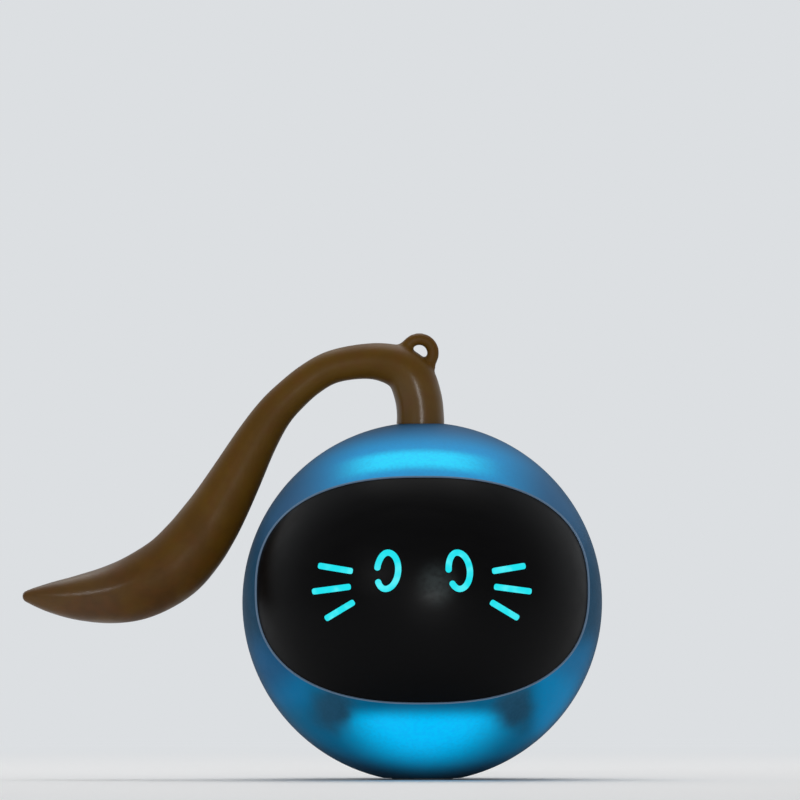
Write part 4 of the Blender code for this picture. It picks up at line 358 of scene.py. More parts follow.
# %% [markdown]
# ## Making pieces
# Each piece is modelled in a bmesh with Blender's own operators and then becomes an object. Shapes
# are drawn round the ball's centre in millimetres. The last step scales and moves the mesh, so that
# the object itself stays at the origin, unturned.

# %% From a drawn shape to a piece
def shade(mesh, sharp_deg=35):
    """Shades smooth, but for edges that are sharper than an angle."""
    mesh.shade_smooth()
    mesh.set_sharp_from_angle(angle=math.radians(sharp_deg))


def as_mesh(name, shape):
    """Keeps what was drawn in a bmesh as a mesh."""
    mesh = bpy.data.meshes.new(name)
    shape.to_mesh(mesh)
    shape.free()
    return mesh


def in_scene(name, data):
    """A new object in the scene, with its data."""
    made = bpy.data.objects.new(name, data)
    bpy.context.scene.collection.objects.link(made)
    return made


def finish_piece(name, shape, material):
    """Turns a bmesh drawn in mm round the ball's centre into an object in the scene."""
    bmesh.ops.scale(shape, verts=shape.verts, vec=(mm, mm, mm))
    bmesh.ops.translate(shape, verts=shape.verts, vec=CENTRE)
    bmesh.ops.recalc_face_normals(shape, faces=shape.faces)
    mesh = as_mesh(name, shape)
    mesh.materials.append(material)
    shade(mesh)
    return in_scene(name, mesh)


print("pieces are drawn in mm and kept in metres")

# %% What a piece stands for, and cuts in it
def stands_for(piece, body, node):
    """The piece moves with a body and is shown in place of a CAD node."""
    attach(piece, body)
    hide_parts(node)
    print(piece.name, "has", len(piece.data.polygons), "faces")


def apply_modifiers(piece):
    """Makes what the modifiers show the piece's mesh."""
    graph = bpy.context.evaluated_depsgraph_get()
    mesh = bpy.data.meshes.new_from_object(piece.evaluated_get(graph))
    piece.modifiers.clear()
    piece.data = mesh


def combine(piece, operation, shapes):
    """Cuts shapes from a piece, or joins them to it, with Booleans that are applied at once."""
    for shape in shapes:
        other = finish_piece("tool", shape, piece.data.materials[0])
        boolean = piece.modifiers.new("boolean", "BOOLEAN")
        boolean.operation, boolean.solver, boolean.object = operation, "EXACT", other
        apply_modifiers(piece)
        bpy.data.objects.remove(other)


print("cuts are made with Booleans")

# %% Turned shapes
def carry_round(shape, geometry, axis, count):
    """Carries geometry once round an axis through the ball's centre, leaving a skin behind."""
    turn = {"angle": 2 * math.pi, "steps": count, "use_merge": True}
    bmesh.ops.spin(shape, geom=geometry, cent=(0, 0, 0), axis=axis, **turn)


def turned(profile, axis="Z", at=(0, 0), sides=64, closed=False):
    """Lathes radius and height pairs round an axis, which stands at x and y, or at x and z."""
    shape = bmesh.new()
    points = [shape.verts.new((radius, 0, along)) for radius, along in profile]
    ends = points[1:] + points[:1] if closed else points[1:]
    for first, second in zip(points, ends):
        shape.edges.new((first, second))
    carry_round(shape, shape.verts[:] + shape.edges[:], (0, 0, 1), sides)
    bmesh.ops.remove_doubles(shape, verts=shape.verts, dist=1e-4)
    if axis == "Y":
        turn = Matrix.Rotation(math.radians(-90), 3, "X")
        bmesh.ops.rotate(shape, verts=shape.verts, cent=(0, 0, 0), matrix=turn)
    away = (at[0], 0, at[1]) if axis == "Y" else (at[0], at[1], 0)
    bmesh.ops.translate(shape, verts=shape.verts, vec=away)
    return shape


def rod(radius, start, end, axis="Z", at=(0, 0), sides=48):
    """A closed round rod."""
    return turned([(0, start), (radius, start), (radius, end), (0, end)], axis, at, sides)


print("a rod has", len(rod(1, 0, 1).faces), "faces")

# %% Blocks and bars
def block(low, high):
    """A box between two corners."""
    shape = bmesh.new()
    bmesh.ops.create_cube(shape, size=1)
    low, high = Vector(low), Vector(high)
    bmesh.ops.scale(shape, verts=shape.verts, vec=high - low)
    bmesh.ops.translate(shape, verts=shape.verts, vec=(low + high) / 2)
    return shape


def round_edges(shape, edges, size, segments=3):
    """Bevels edges to a round section."""
    kind = {"offset_type": "OFFSET", "affect": "EDGES", "profile": 0.5, "material": -1}
    bmesh.ops.bevel(shape, geom=edges, offset=size, segments=segments, **kind)


def oval_bar(half_width, half_height, start, end, height):
    """A bar along Y with a rounded section."""
    low, high = height - half_height, height + half_height
    shape = block((-half_width, start, low), (half_width, end, high))
    corners = [edge for edge in shape.edges if abs(edge.verts[0].co.y - edge.verts[1].co.y) > 0.1]
    round_edges(shape, corners, half_height * 0.95, 8)
    return shape


print("a rounded bar has", len(oval_bar(2, 1, 0, 5, 0).faces), "faces")

# %% Rounding and joining
def ease_edges(shape, size, keep=lambda at: True):
    """Rounds the sharp edges whose ends pass a test, as a mould leaves them."""
    sharp = [
        edge
        for edge in shape.edges
        if edge.calc_face_angle(0) > math.radians(40) and all(keep(vert.co) for vert in edge.verts)
    ]
    round_edges(shape, sharp, size)


def joined(shapes):
    """Several shapes in one bmesh."""
    whole = bmesh.new()
    for shape in shapes:
        mesh = as_mesh("part", shape)
        whole.from_mesh(mesh)
        bpy.data.meshes.remove(mesh)
    return whole


print("two rods joined have", len(joined([rod(1, 0, 1), rod(1, 2, 3)]).faces), "faces")

# %% [markdown]
# ## The casing's two halves
# The casing is a hollow ball in two moulded halves, which meet at a fine seam round the sides. The
# front half has a wide rounded opening for the face. Lathing would only give round holes, so each
# half is a flat grid bent to its shape: round the ball one way, and along the wall's closed outline
# the other way. Holes and flats are cut with Booleans.

# %% A grid bent to a closed form
R = BALL_RADIUS / mm
INNER_R = R - WALL / mm


def wrapped(around, along, place):
    """A grid bent to a closed form. place gives the point for two shares, round and along it."""
    shape = bmesh.new()
    bmesh.ops.create_grid(shape, x_segments=around, y_segments=along, size=0.5)
    for vert in shape.verts:
        vert.co = place(vert.co.x + 0.5, vert.co.y + 0.5)
    bmesh.ops.remove_doubles(shape, verts=shape.verts, dist=1e-4)
    return shape


def visor_edge(share, half_width, half_height):
    """The face's rounded outline at a share of a turn: x and z in mm from the ball's centre."""
    turn = 2 * math.pi * share
    across = abs(math.cos(turn) / half_width) ** SQUARENESS
    up = abs(math.sin(turn) / half_height) ** SQUARENESS
    reach = (across + up) ** (-1 / SQUARENESS)
    return reach * math.cos(turn), FACE_Z + reach * math.sin(turn)


def on_front(x, z, radius):
    """The point on the front of a ball of this radius, seen at x and z."""
    return Vector((x, -math.sqrt(radius**2 - x**2 - z**2), z))


print("the face's opening is", 2 * visor_edge(0, *OPENING)[0], "mm wide")

# %% A half of the casing
def half_shell(around, start, stations):
    """A wall between a start line and the seam. Each station of its closed outline has a radius,
    a place y of the seam, and its share of the way there."""

    def place(share, along):
        radius, seam_y, back = stations[round(along * (len(stations) - 1))]
        turn = 2 * math.pi * share
        flat = math.sqrt(radius**2 - seam_y**2)
        seam = Vector((flat * math.cos(turn), seam_y, flat * math.sin(turn))).normalized()
        return radius * start(share).slerp(seam, back)

    shape = wrapped(around, len(stations) - 1, place)
    ease_edges(shape, 0.15, lambda at: at.length > R - 0.01)
    return shape


def steps(count, radius, seam_y, inwards=False):
    """Stations at even shares from the start to the seam, or back."""
    shares = [index / count for index in range(count + 1)]
    return [(radius, seam_y, share) for share in (shares[::-1] if inwards else shares)]


print("the ball's wall is", WALL / mm, "mm thick")

# %% A true ball's shading, and the cuts that both halves share
def shade_as_ball(piece, radius):
    """Shades the faces on a ball as a true ball, where the thin faces of a cut would be streaks."""
    mesh = piece.data
    shade(mesh)
    corners = [corner.vector.copy() for corner in mesh.corner_normals]
    for polygon in mesh.polygons:
        for corner in polygon.loop_indices:
            out = mesh.vertices[mesh.loops[corner].vertex_index].co - CENTRE
            on_ball = abs(out.length - radius * mm) < 0.03 * mm
            if on_ball and polygon.normal.dot(out.normalized()) > 0.97:
                corners[corner] = out.normalized()
    mesh.normals_split_custom_set(corners)


OUTSIDE = 40
TOP_HOLE, FLAT_RADIUS, FLAT_Z = 4.7, 9, 0.3 - CENTRE.z / mm
RECESS_RADIUS, RECESS_DEPTH = 6.7, 1.4


def cut_top_and_bottom(piece):
    """Cuts the tail's hole, the flat and the foot pad's recess."""
    tail_hole = rod(TOP_HOLE, 30, OUTSIDE, sides=64)
    flat = rod(FLAT_RADIUS, -OUTSIDE, FLAT_Z, sides=64)
    recess = rod(RECESS_RADIUS, -OUTSIDE, FLAT_Z + RECESS_DEPTH, sides=64)
    combine(piece, "DIFFERENCE", [tail_hole, flat, recess])


print("the tail's hole is", 2 * TOP_HOLE, "mm wide")

# %% Front half
# The front half's tongue, half the wall thick, goes 1 mm behind the rear half's edge
SEAM_Y, LIP_Y, LIP_R = -0.1, 1.0, 36.0


def opening_line(share):
    """The direction of the opening's edge at a share of a turn."""
    return on_front(*visor_edge(share, *OPENING), R).normalized()


outline = steps(16, R, SEAM_Y) + [(LIP_R, SEAM_Y, 1), (LIP_R, LIP_Y, 1)]
outline += steps(16, INNER_R, LIP_Y, inwards=True) + [(R, SEAM_Y, 0)]
front_shell = finish_piece("shell_front", half_shell(192, opening_line, outline), milky)
cut_top_and_bottom(front_shell)
shade_as_ball(front_shell, R)
stands_for(front_shell, "ball", "front_shell")

# %% Rear half, with its screw wells, port window and button hole
PORT_Z, BUTTON_Z = -6, 8
PORT_WINDOW, BUTTON_HOLE, THROUGH_WALL = (6.3, 3.5), 4.25, (28, OUTSIDE)
WELL_RADIUS, WELL_SEAT, THREAD_RADIUS = 2.1, 6.8, 1.05
# A post's end stays in the wall, 1.1 mm under its surface
POST_RADIUS, POST_FLOOR, POST_END_R = 3.4, 1.2, 35.9
# The rear half leaves the front half's tongue a little room
LIP_ROOM_R, LIP_ROOM_Y = 0.1, 0.2


def back_pole(share):
    """The rear half has no opening, so its rings start at one point."""
    return Vector((0, 1, 0))


def screw_post(x, z):
    """A post whose end is cut off along the wall that it joins."""
    shape = rod(POST_RADIUS, WELL_SEAT - POST_FLOOR, OUTSIDE, "Y", (x, z))
    out = Vector((x, math.sqrt(R**2 - x**2 - z**2), z)).normalized()
    geometry = shape.verts[:] + shape.edges[:] + shape.faces[:]
    plane = {"plane_co": out * POST_END_R, "plane_no": out}
    bmesh.ops.bisect_plane(shape, geom=geometry, clear_outer=True, **plane)
    bmesh.ops.holes_fill(shape, edges=[edge for edge in shape.edges if edge.is_boundary])
    return shape


lip_r, lip_y = LIP_R + LIP_ROOM_R, LIP_Y + LIP_ROOM_Y
outline = steps(32, R, -SEAM_Y) + [(lip_r, -SEAM_Y, 1), (lip_r, lip_y, 1)]
outline += steps(32, INNER_R, lip_y, inwards=True)
rear_shell = finish_piece("shell_rear", half_shell(128, back_pole, outline), milky)
combine(rear_shell, "UNION", [screw_post(x, z) for x, z in SCREW_PLACES])
holes = [oval_bar(*PORT_WINDOW, *THROUGH_WALL, PORT_Z)]
holes.append(rod(BUTTON_HOLE, *THROUGH_WALL, "Y", (0, BUTTON_Z), 64))
for at in SCREW_PLACES:
    holes += [rod(WELL_RADIUS, WELL_SEAT, OUTSIDE, "Y", at), rod(THREAD_RADIUS, 2, 10, "Y", at)]
combine(rear_shell, "DIFFERENCE", holes)
cut_top_and_bottom(rear_shell)
shade_as_ball(rear_shell, R)
stands_for(rear_shell, "ball", "rear_shell")

# %% [markdown]
# ## The face
# The visor follows the ball, set back a third of a millimetre, with a fine gap round it. It is a
# bent grid too: rings of the outline that shrink to its middle, on the front and on the back. Slots
# are cut for the marks, and a light guide fills each. A bevelled curve would be rounded, so a guide
# is a ribbon along a line, pushed through, with round or squarer ends.

# %% The visor's sheet
VISOR_FACE = (34.0, 23.0)
VISOR_R, VISOR_BACK_R, RINGS = 36.7, 33.7, 24


def visor_sheet(share, along):
    """Rings from the middle of the front out to the edge, and in again on the back."""
    step = round(along * (2 * RINGS + 1))
    front = step <= RINGS
    size = (step if front else 2 * RINGS + 1 - step) / RINGS
    x, z = visor_edge(share, *VISOR_FACE)
    out = on_front(x * size, FACE_Z + (z - FACE_Z) * size, VISOR_R).normalized()
    return (VISOR_R if front else VISOR_BACK_R) * out


shape = wrapped(192, 2 * RINGS + 1, visor_sheet)
ease_edges(shape, 0.2, lambda at: at.length > VISOR_R - 0.01)
visor = finish_piece("visor_panel", shape, black)
print("visor:", len(visor.data.polygons), "faces")

# %% The marks' lines
STROKE = 1.26
EYE_X, EYE_Z, EYE_LEAN_DEG = 7.3, 6.4, 6
EYE_WIDE, EYE_NARROW, EYE_TALL = 2.35, 1.95, 3.72
EYE_FROM_DEG, EYE_SWEEP_DEG, EYE_STEPS = 173, 311, 40
# Where each whisker starts, x and z, its length and its slope in degrees
WHISKERS = ((14.8, 6.4, 5.95, 9.5), (15.2, 3.1, 6.75, -7.5), (14.4, -0.2, 5.7, -31))
SHORTER_ON_RIGHT, WHISKER_STEPS = 0.25, 8


def eye_line(side):
    """An eye's open arc, which leans outwards at its foot. Its open side is a little narrower."""
    lean = math.radians(EYE_LEAN_DEG * side)
    points = []
    for step in range(EYE_STEPS + 1):
        turn = math.radians(EYE_FROM_DEG - EYE_SWEEP_DEG * step / EYE_STEPS)
        across = (EYE_WIDE if math.cos(turn) > 0 else EYE_NARROW) * math.cos(turn)
        up = EYE_TALL * math.sin(turn)
        x = across * math.cos(lean) - up * math.sin(lean)
        z = across * math.sin(lean) + up * math.cos(lean)
        points.append(Vector((side * EYE_X + x, 0, EYE_Z + z)))
    return points


def whisker_line(side, x, z, length, slope):
    """A whisker's middle line, from the nose outwards. Those on the right are a little shorter."""
    run = Vector((side * math.cos(math.radians(slope)), 0, math.sin(math.radians(slope))))
    run *= length - (SHORTER_ON_RIGHT if side > 0 else 0)
    start = Vector((side * x, 0, z))
    return [start + run * step / WHISKER_STEPS for step in range(WHISKER_STEPS + 1)]


print("an eye's line has", len(eye_line(1)), "points")

# %% A ribbon along a line
def line_end(middle, aside, ahead, squareness):
    """The outline round a line's end, from one side to the other: round at 2, squarer above."""
    points = []
    for degrees in range(15, 180, 15):
        cosine, sine = math.cos(math.radians(degrees)), math.sin(math.radians(degrees))
        reach = (abs(cosine) ** squareness + sine**squareness) ** (-1 / squareness)
        points.append(middle + reach * (cosine * aside + sine * ahead))
    return points


def ribbon(points, width, front, back, squareness):
    """A solid bar of one width along a line, between two balls' radii."""
    ahead = []
    for index in range(len(points)):
        before, after = points[max(index - 1, 0)], points[min(index + 1, len(points) - 1)]
        ahead.append((after - before).normalized() * width / 2)
    aside = [Vector((step.z, 0, -step.x)) for step in ahead]
    outline = [point + out for point, out in zip(points, aside)]
    outline += line_end(points[-1], aside[-1], ahead[-1], squareness)
    outline += [point - out for point, out in zip(points[::-1], aside[::-1])]
    outline += line_end(points[0], -aside[0], -ahead[0], squareness)
    shape = bmesh.new()
    face = shape.faces.new([shape.verts.new(on_front(at.x, at.z, front)) for at in outline])
    pushed = bmesh.ops.extrude_face_region(shape, geom=[face])["geom"]
    for vert in pushed:
        if isinstance(vert, bmesh.types.BMVert):
            vert.co = on_front(vert.co.x, vert.co.z, back)
    return shape


ROUND, SQUARISH = 2, 3
marks = {}
for side, name in ((-1, "left"), (1, "right")):
    whiskers = [whisker_line(side, *whisker) for whisker in WHISKERS]
    marks["eye_light_" + name] = [(eye_line(side), ROUND)]
    marks["whisker_light_" + name] = [(line, SQUARISH) for line in whiskers]
print("marks:", ", ".join(marks))

# %% Slots in the visor, and the lights in them
# A slot leaves a gap round its guide, and is cut right through the visor
SLOT_GAP, SLOT_CUT = 0.06, (38, 32)
width = STROKE + 2 * SLOT_GAP
slots = [ribbon(line, width, *SLOT_CUT, ends) for group in marks.values() for line, ends in group]
combine(visor, "DIFFERENCE", slots)
shade_as_ball(visor, VISOR_R)
stands_for(visor, "ball", "visor")
LIGHT_R = VISOR_R - SLOT_GAP
for node, group in marks.items():
    shape = joined([ribbon(line, STROKE, LIGHT_R, VISOR_BACK_R + 1, ends) for line, ends in group])
    light = finish_piece(node + "_guide", shape, acrylic)
    shade_as_ball(light, LIGHT_R)
    stands_for(light, "ball", node)

# %% [markdown]
# ## The tail
# The tail rises from the ball, bends over and hangs down on the left, thick in its lower half and
# drawn to a thin tip. It is soft rubber, hollow at its base, where it is pushed on to a stem. A
# curve with a bevel could give it, but its radius changes all the way. So a tube is bent along a
# smooth line through measured stations, and one skin is laid over it and its loop.

# %% The tail's line
TAIL_BASE_Z, TAIL_REACH, TAIL_RISE, TAIL_THICK = 37.1, 82.4, 48.8, 7.0
# Places out to the left and up, and radii, as shares of the tail's size
STATIONS = (
    (0.0045, -0.02, 0.71), (0.0045, 0.030, 0.695), (0.0095, 0.101, 0.69),
    (0.027, 0.185, 0.68), (0.063, 0.235, 0.62), (0.130, 0.256, 0.53),
    (0.218, 0.235, 0.49), (0.279, 0.181, 0.49), (0.3355, 0.0995, 0.515),
    (0.3755, 0.0235, 0.555), (0.4175, -0.088, 0.635), (0.462, -0.226, 0.745),
    (0.502, -0.347, 0.84), (0.5345, -0.4345, 0.91), (0.574, -0.526, 0.968),
    (0.626, -0.6165, 1.0), (0.7015, -0.691, 0.97), (0.774, -0.727, 0.865),
    (0.853, -0.741, 0.685), (0.920, -0.741, 0.48), (0.967, -0.737, 0.285),
    (0.987, -0.735, 0.18),
)  # fmt: skip


def smooth_line(stations, per_span):
    """Stations as x, z and radius, with more between them on a smooth curve."""
    known = [
        Vector((-TAIL_REACH * out, TAIL_BASE_Z + TAIL_RISE * up, TAIL_THICK * thick))
        for out, up, thick in stations
    ]
    ends = [2 * known[0] - known[1], *known, 2 * known[-1] - known[-2]]
    line = []
    for a, b, c, d in zip(ends, ends[1:], ends[2:], ends[3:]):
        for t in [step / per_span for step in range(per_span)]:
            bend = (2 * a - 5 * b + 4 * c - d) * t**2 + (3 * b - a - 3 * c + d) * t**3
            line.append(0.5 * (2 * b + (c - a) * t + bend))
    return [*line, known[-1]]


tail_line = smooth_line(STATIONS, 6)
print("tail line:", len(tail_line), "places")

# %% The tail's skin
def tail_rings(line):
    """The middle, the direction and the radius of each ring, with closed ends."""
    middles = [Vector((x, 0, z)) for x, z, radius in line]
    rings = [(middles[0], Vector((0, 0, 1)), 0), (middles[0], Vector((0, 0, 1)), line[0].z)]
    for index in range(1, len(line)):
        ahead = middles[min(index + 1, len(line) - 1)]
        rings.append((middles[index], (ahead - middles[index - 1]).normalized(), line[index].z))
    end, along, radius = rings[-1]
    for out, wide in ((0.4, 0.85), (0.7, 0.5)):
        rings.append((end + along * radius * out, along, radius * wide))
    return [*rings, (end + along * radius * 0.8, along, 0)]


rings = tail_rings(tail_line)


def tail_skin(share, along):
    """The point of the skin at a share of a turn and of the tail's length."""
    middle, direction, radius = rings[round(along * (len(rings) - 1))]
    aside = Vector((direction.z, 0, -direction.x))
    turn = 2 * math.pi * share
    return middle + radius * (math.cos(turn) * aside + Vector((0, math.sin(turn), 0)))


print("the tail's skin has", len(rings), "rings")

# %% The loop, and one mesh of them all
LOOP_MIDDLE, LOOP_RADIUS, LOOP_WIRE = (-0.6, 0, 51.3), 2.85, 1.25
loop = bmesh.new()
wire = bmesh.ops.create_circle(loop, segments=24, radius=LOOP_WIRE)["verts"]
bmesh.ops.translate(loop, verts=wire, vec=(LOOP_RADIUS, 0, 0))
carry_round(loop, loop.edges[:], (0, 1, 0), 48)
bmesh.ops.translate(loop, verts=loop.verts, vec=LOOP_MIDDLE)
# The mould is filled out where the loop meets the tail, here by two small balls
fillings = []
for middle, radius in (((-3.75, 0, 52.2), 1.4), ((1.75, 0, 48.4), 1.05)):
    filling = bmesh.new()
    bmesh.ops.create_icosphere(filling, subdivisions=3, radius=radius)
    bmesh.ops.translate(filling, verts=filling.verts, vec=middle)
    fillings.append(filling)
shape = joined([wrapped(48, len(rings) - 1, tail_skin), loop, *fillings])
tail = finish_piece("tail_skin", shape, rubber)
print("tail before remeshing:", len(tail.data.polygons), "faces")

# %% One smooth skin over tail and loop
remesh = tail.modifiers.new("one skin", "REMESH")
remesh.mode, remesh.voxel_size = "VOXEL", 0.33 * mm
smooth = tail.modifiers.new("soft joins", "SMOOTH")
smooth.factor, smooth.iterations = 0.5, 12
apply_modifiers(tail)
# Then the base is cut level just above the ball, and bored for the stem
MOUTH_Z, HOLLOW_RADIUS, HOLLOW_TOP = 36.7, 3.27, 43.0
below = block((-12, -12, 30), (12, 12, MOUTH_Z))
combine(tail, "DIFFERENCE", [below, rod(HOLLOW_RADIUS, 30, HOLLOW_TOP)])
shade(tail.data, 40)
stands_for(tail, "tail", "tail")

# %% [markdown]
# ## The parts inside and behind
# Most of these keep their CAD shape and get the finish of what they are made from: gears of natural
# acetal, boards with green solder mask, steel, brass. Images would be much work for parts that
# hardly show, so one function gives each a fine grain. The few that show are made again.

# %% Finishes of the small parts
def plain(name, hex_colour, roughness, grain_mm, depth, inputs=None):
    """A material with a fine grain in its gloss and its surface."""
    made, shader, place = new_material(name, hex_colour, roughness, inputs)
    grain = add_node(made, "TexNoise", {"Vector": place, "Scale": 1 / grain_mm, "Detail": 3.0})
    span = {"Value": grain, "From Min": 0.3, "From Max": 0.7}
    span |= {"To Min": roughness * 0.8, "To Max": min(1, roughness * 1.25)}
    gloss = add_node(made, "MapRange", span)
    bump = add_node(made, "Bump", {"Height": grain, "Strength": 0.4, "Distance": depth * mm})
    feed(shader, {"Roughness": gloss, "Normal": bump})
    return made


print("plain finishes have a grain")

# %% Each slot's finish
# Moulds and plating leave a grain finer than 0.1 mm, which is drawn coarser so that it shows
finishes = {
    "milky_shell": milky,
    "black_visor": black,
    "face_light": acrylic,
    "tail_rubber": rubber,
    # Moulded silicone is dull and a little dusty
    "foot_rubber": plain("grey_silicone_moulded", "#8b9096", 0.6, 0.5, 0.03),
    # From the mould, ABS has an even sheen, acetal is waxy and nylon is duller
    "white_plastic": plain("white_abs_moulded", "#dfe3e6", 0.38, 0.6, 0.02),
    "grey_plastic": plain("grey_abs_moulded", "#7d8489", 0.42, 0.6, 0.02),
    "gear_plastic": plain("natural_acetal_moulded", "#e6e2d4", 0.34, 0.8, 0.02),
    "black_plastic": plain("black_nylon_moulded", "#1b1c1e", 0.45, 0.5, 0.02),
    # Solder mask is a slightly uneven green varnish, and an LED is white and glossier
    "circuit_board": plain("glass_epoxy_solder_mask", "#14532f", 0.35, 1.2, 0.02),
    "led_package": plain("white_led_package", "#e9eef0", 0.3, 0.5, 0.01),
    # Zinc is a silvery blurred mirror, and turned brass a warm one with fine marks
    "steel": plain("steel_bright_zinc", "#b9bcc0", 0.3, 0.4, 0.01, {"Metallic": 1.0}),
    "brass": plain("brass_turned", "#c2a052", 0.25, 0.4, 0.01, {"Metallic": 1.0}),
    # A shrunk sleeve is glossy and slightly wavy, and a lead's soft sleeve is duller
    "battery_wrap": plain("pet_shrink_sleeve", "#2d6fb0", 0.25, 2.0, 0.02),
    "red_lead": plain("red_pvc_sleeve", "#b5231f", 0.4, 0.6, 0.02),
    "black_lead": plain("black_pvc_sleeve", "#18181a", 0.4, 0.6, 0.02),
}
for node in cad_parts.values():
    for slot in node.material_slots:
        slot.material = finishes[slot.material.name.split(".")[0]]
print("finishes:", len(finishes))

# %% [markdown]
# ## Screws
# Four steel screws draw the halves together from behind. A screw is turned, so its profile is
# lathed, and two bars cut its cross. A thread could be a swept groove, but the post hides it.

# %% Screws with a cross recess
def small_piece(name, shape, slot, node, body="ball", cuts=()):
    """A piece in its slot's finish, with its cuts made, in place of one CAD node."""
    piece = finish_piece(name, shape, finishes[slot])
    combine(piece, "DIFFERENCE", cuts)
    stands_for(piece, body, node)


SCREW_RADIUS, SCREW_END = 0.9, -8.0
# The head's outline: radii and heights above the seat
HEAD = ((1.8, 0), (1.8, 0.55), (1.62, 0.9), (1.2, 1.1), (0, 1.2))
CROSS_LONG, CROSS_THIN, CROSS_BOTTOM = 1.15, 0.24, 0.35
profile = [(0, SCREW_END), (SCREW_RADIUS, SCREW_END + SCREW_RADIUS), (SCREW_RADIUS, WELL_SEAT)]
profile += [(radius, WELL_SEAT + up) for radius, up in HEAD]
low, high = WELL_SEAT + CROSS_BOTTOM, WELL_SEAT + 2
for name, (x, z) in zip(("lower_left", "lower_right", "upper_left", "upper_right"), SCREW_PLACES):
    cross = [
        block((x - wide, low, z - tall), (x + wide, high, z + tall))
        for wide, tall in ((CROSS_LONG, CROSS_THIN), (CROSS_THIN, CROSS_LONG))
    ]
    shape = turned(profile, "Y", (x, z), 40)
    small_piece("screw_" + name, shape, "steel", "shell_screw_" + name, cuts=cross)

# %% [markdown]
# ## Charging port
# The port is a steel shell round a plastic tongue with twelve contacts. Bent sheet would be truer,
# but only the mouth is seen, so a rounded bar with a smaller one cut out of it is enough.

# %% The port's shell
PORT_START, PORT_MOUTH, PORT_DEPTH = 25.5, 32.9, 5.4
PORT_HALF, PORT_SHEET = (4.5, 1.65), 0.35
port_bottom = PORT_MOUTH - PORT_DEPTH
inside = [half - PORT_SHEET for half in PORT_HALF]
shape = oval_bar(*PORT_HALF, PORT_START, PORT_MOUTH, PORT_Z)
hollow = oval_bar(*inside, port_bottom, OUTSIDE, PORT_Z)
small_piece("port_shell", shape, "steel", "usb_port", cuts=[hollow])

# %% The port's tongue and contacts
TONGUE_HALF, TONGUE_BACK = (3.3, 0.35), 0.8
CONTACTS, PITCH, CONTACT_HALF, CONTACT_BACK = 12, 0.5, (0.13, 0.37), (4.5, 1.1)


def port_block(x, half, start, end):
    """A block in the port at x, with half its width and height."""
    low = (x - half[0], start, PORT_Z - half[1])
    return block(low, (x + half[0], end, PORT_Z + half[1]))


shape = port_block(0, TONGUE_HALF, port_bottom, PORT_MOUTH - TONGUE_BACK)
ease_edges(shape, 0.12)
small_piece("port_tongue", shape, "black_plastic", "usb_port")
start, end = [PORT_MOUTH - back for back in CONTACT_BACK]
places = [(step - (CONTACTS - 1) / 2) * PITCH for step in range(CONTACTS)]
shape = joined([port_block(x, CONTACT_HALF, start, end) for x in places])
small_piece("port_contacts", shape, "brass", "usb_port")

# %% [markdown]
# ## Power button
# The cap follows the ball, stands a third of a millimetre proud so that a finger finds it, and is
# dished. A flange keeps it in, and a stem reaches the switch. Lathing would leave the face flat, so
# it is a bent grid, as the casing is.

# %% Power button
BUTTON_FACE_R, DISH_RADIUS, DISH_DEPTH = 37.36, 3.0, 0.35
# Radii, and depths under the face's ball: first the dish, then the rounded edge
DISH_RADII = (0, 0.6, 1.2, 1.8, 2.4, 3.0, 3.5)
BUTTON_FACE = [(r, DISH_DEPTH * max(0, 1 - (r / DISH_RADIUS) ** 2)) for r in DISH_RADII]
BUTTON_FACE += [(3.72, 0.02), (3.88, 0.1), (3.97, 0.26), (4.0, 0.5)]
# Radii and places y of the skirt, the flange and the stem
BUTTON_BACK = [(4.0, 32.33), (5.2, 32.33), (5.2, 31.33), (1.8, 31.33), (1.8, 30.0), (0, 30.0)]
BUTTON_SPANS = len(BUTTON_FACE) + len(BUTTON_BACK) - 1


def button_skin(share, along):
    """From the middle of the face out to its edge, back, and in to the stem."""
    step = round(along * BUTTON_SPANS)
    on_face = step < len(BUTTON_FACE)
    radius, y = BUTTON_FACE[step] if on_face else BUTTON_BACK[step - len(BUTTON_FACE)]
    turn = 2 * math.pi * share
    x, z = radius * math.cos(turn), BUTTON_Z + radius * math.sin(turn)
    if on_face:
        y = math.sqrt(BUTTON_FACE_R**2 - x**2 - z**2) - y
    return Vector((x, y, z))


shape = wrapped(64, BUTTON_SPANS, button_skin)
small_piece("power_button_cap", shape, "white_plastic", "power_button", "power_button")

# %% [markdown]
# ## Foot pad, collar and stem
# The ball stands on a silicone pad with two fine grooves. At the top a nylon collar holds the stem
# that the tail is pushed on to. All three could be joined rods, but one lathed profile gives each
# at once, and the collar's is closed round its hole.

# %% Foot pad
FOOT_R, FOOT_THICK, FOOT_EDGE, DIMPLE = FOOT_RADIUS / mm, 1.3, 0.25, 0.35
GROOVES, GROOVE_TOP, GROOVE_FLOOR, GROOVE_DEPTH = (3.6, 5.0), 0.35, 0.2, 0.2
low = -CENTRE.z / mm
profile = [(0, low + DIMPLE), (1.9, low + DIMPLE), (2.2, low)]
for groove in GROOVES:
    profile += [(groove - GROOVE_TOP, low), (groove - GROOVE_FLOOR, low + GROOVE_DEPTH)]
    profile += [(groove + GROOVE_FLOOR, low + GROOVE_DEPTH), (groove + GROOVE_TOP, low)]
profile += [(FOOT_R - FOOT_EDGE, low), (FOOT_R, low + FOOT_EDGE)]
profile += [(FOOT_R, low + FOOT_THICK), (0, low + FOOT_THICK)]
small_piece("foot_ring", turned(profile, sides=96), "foot_rubber", "foot_pad")

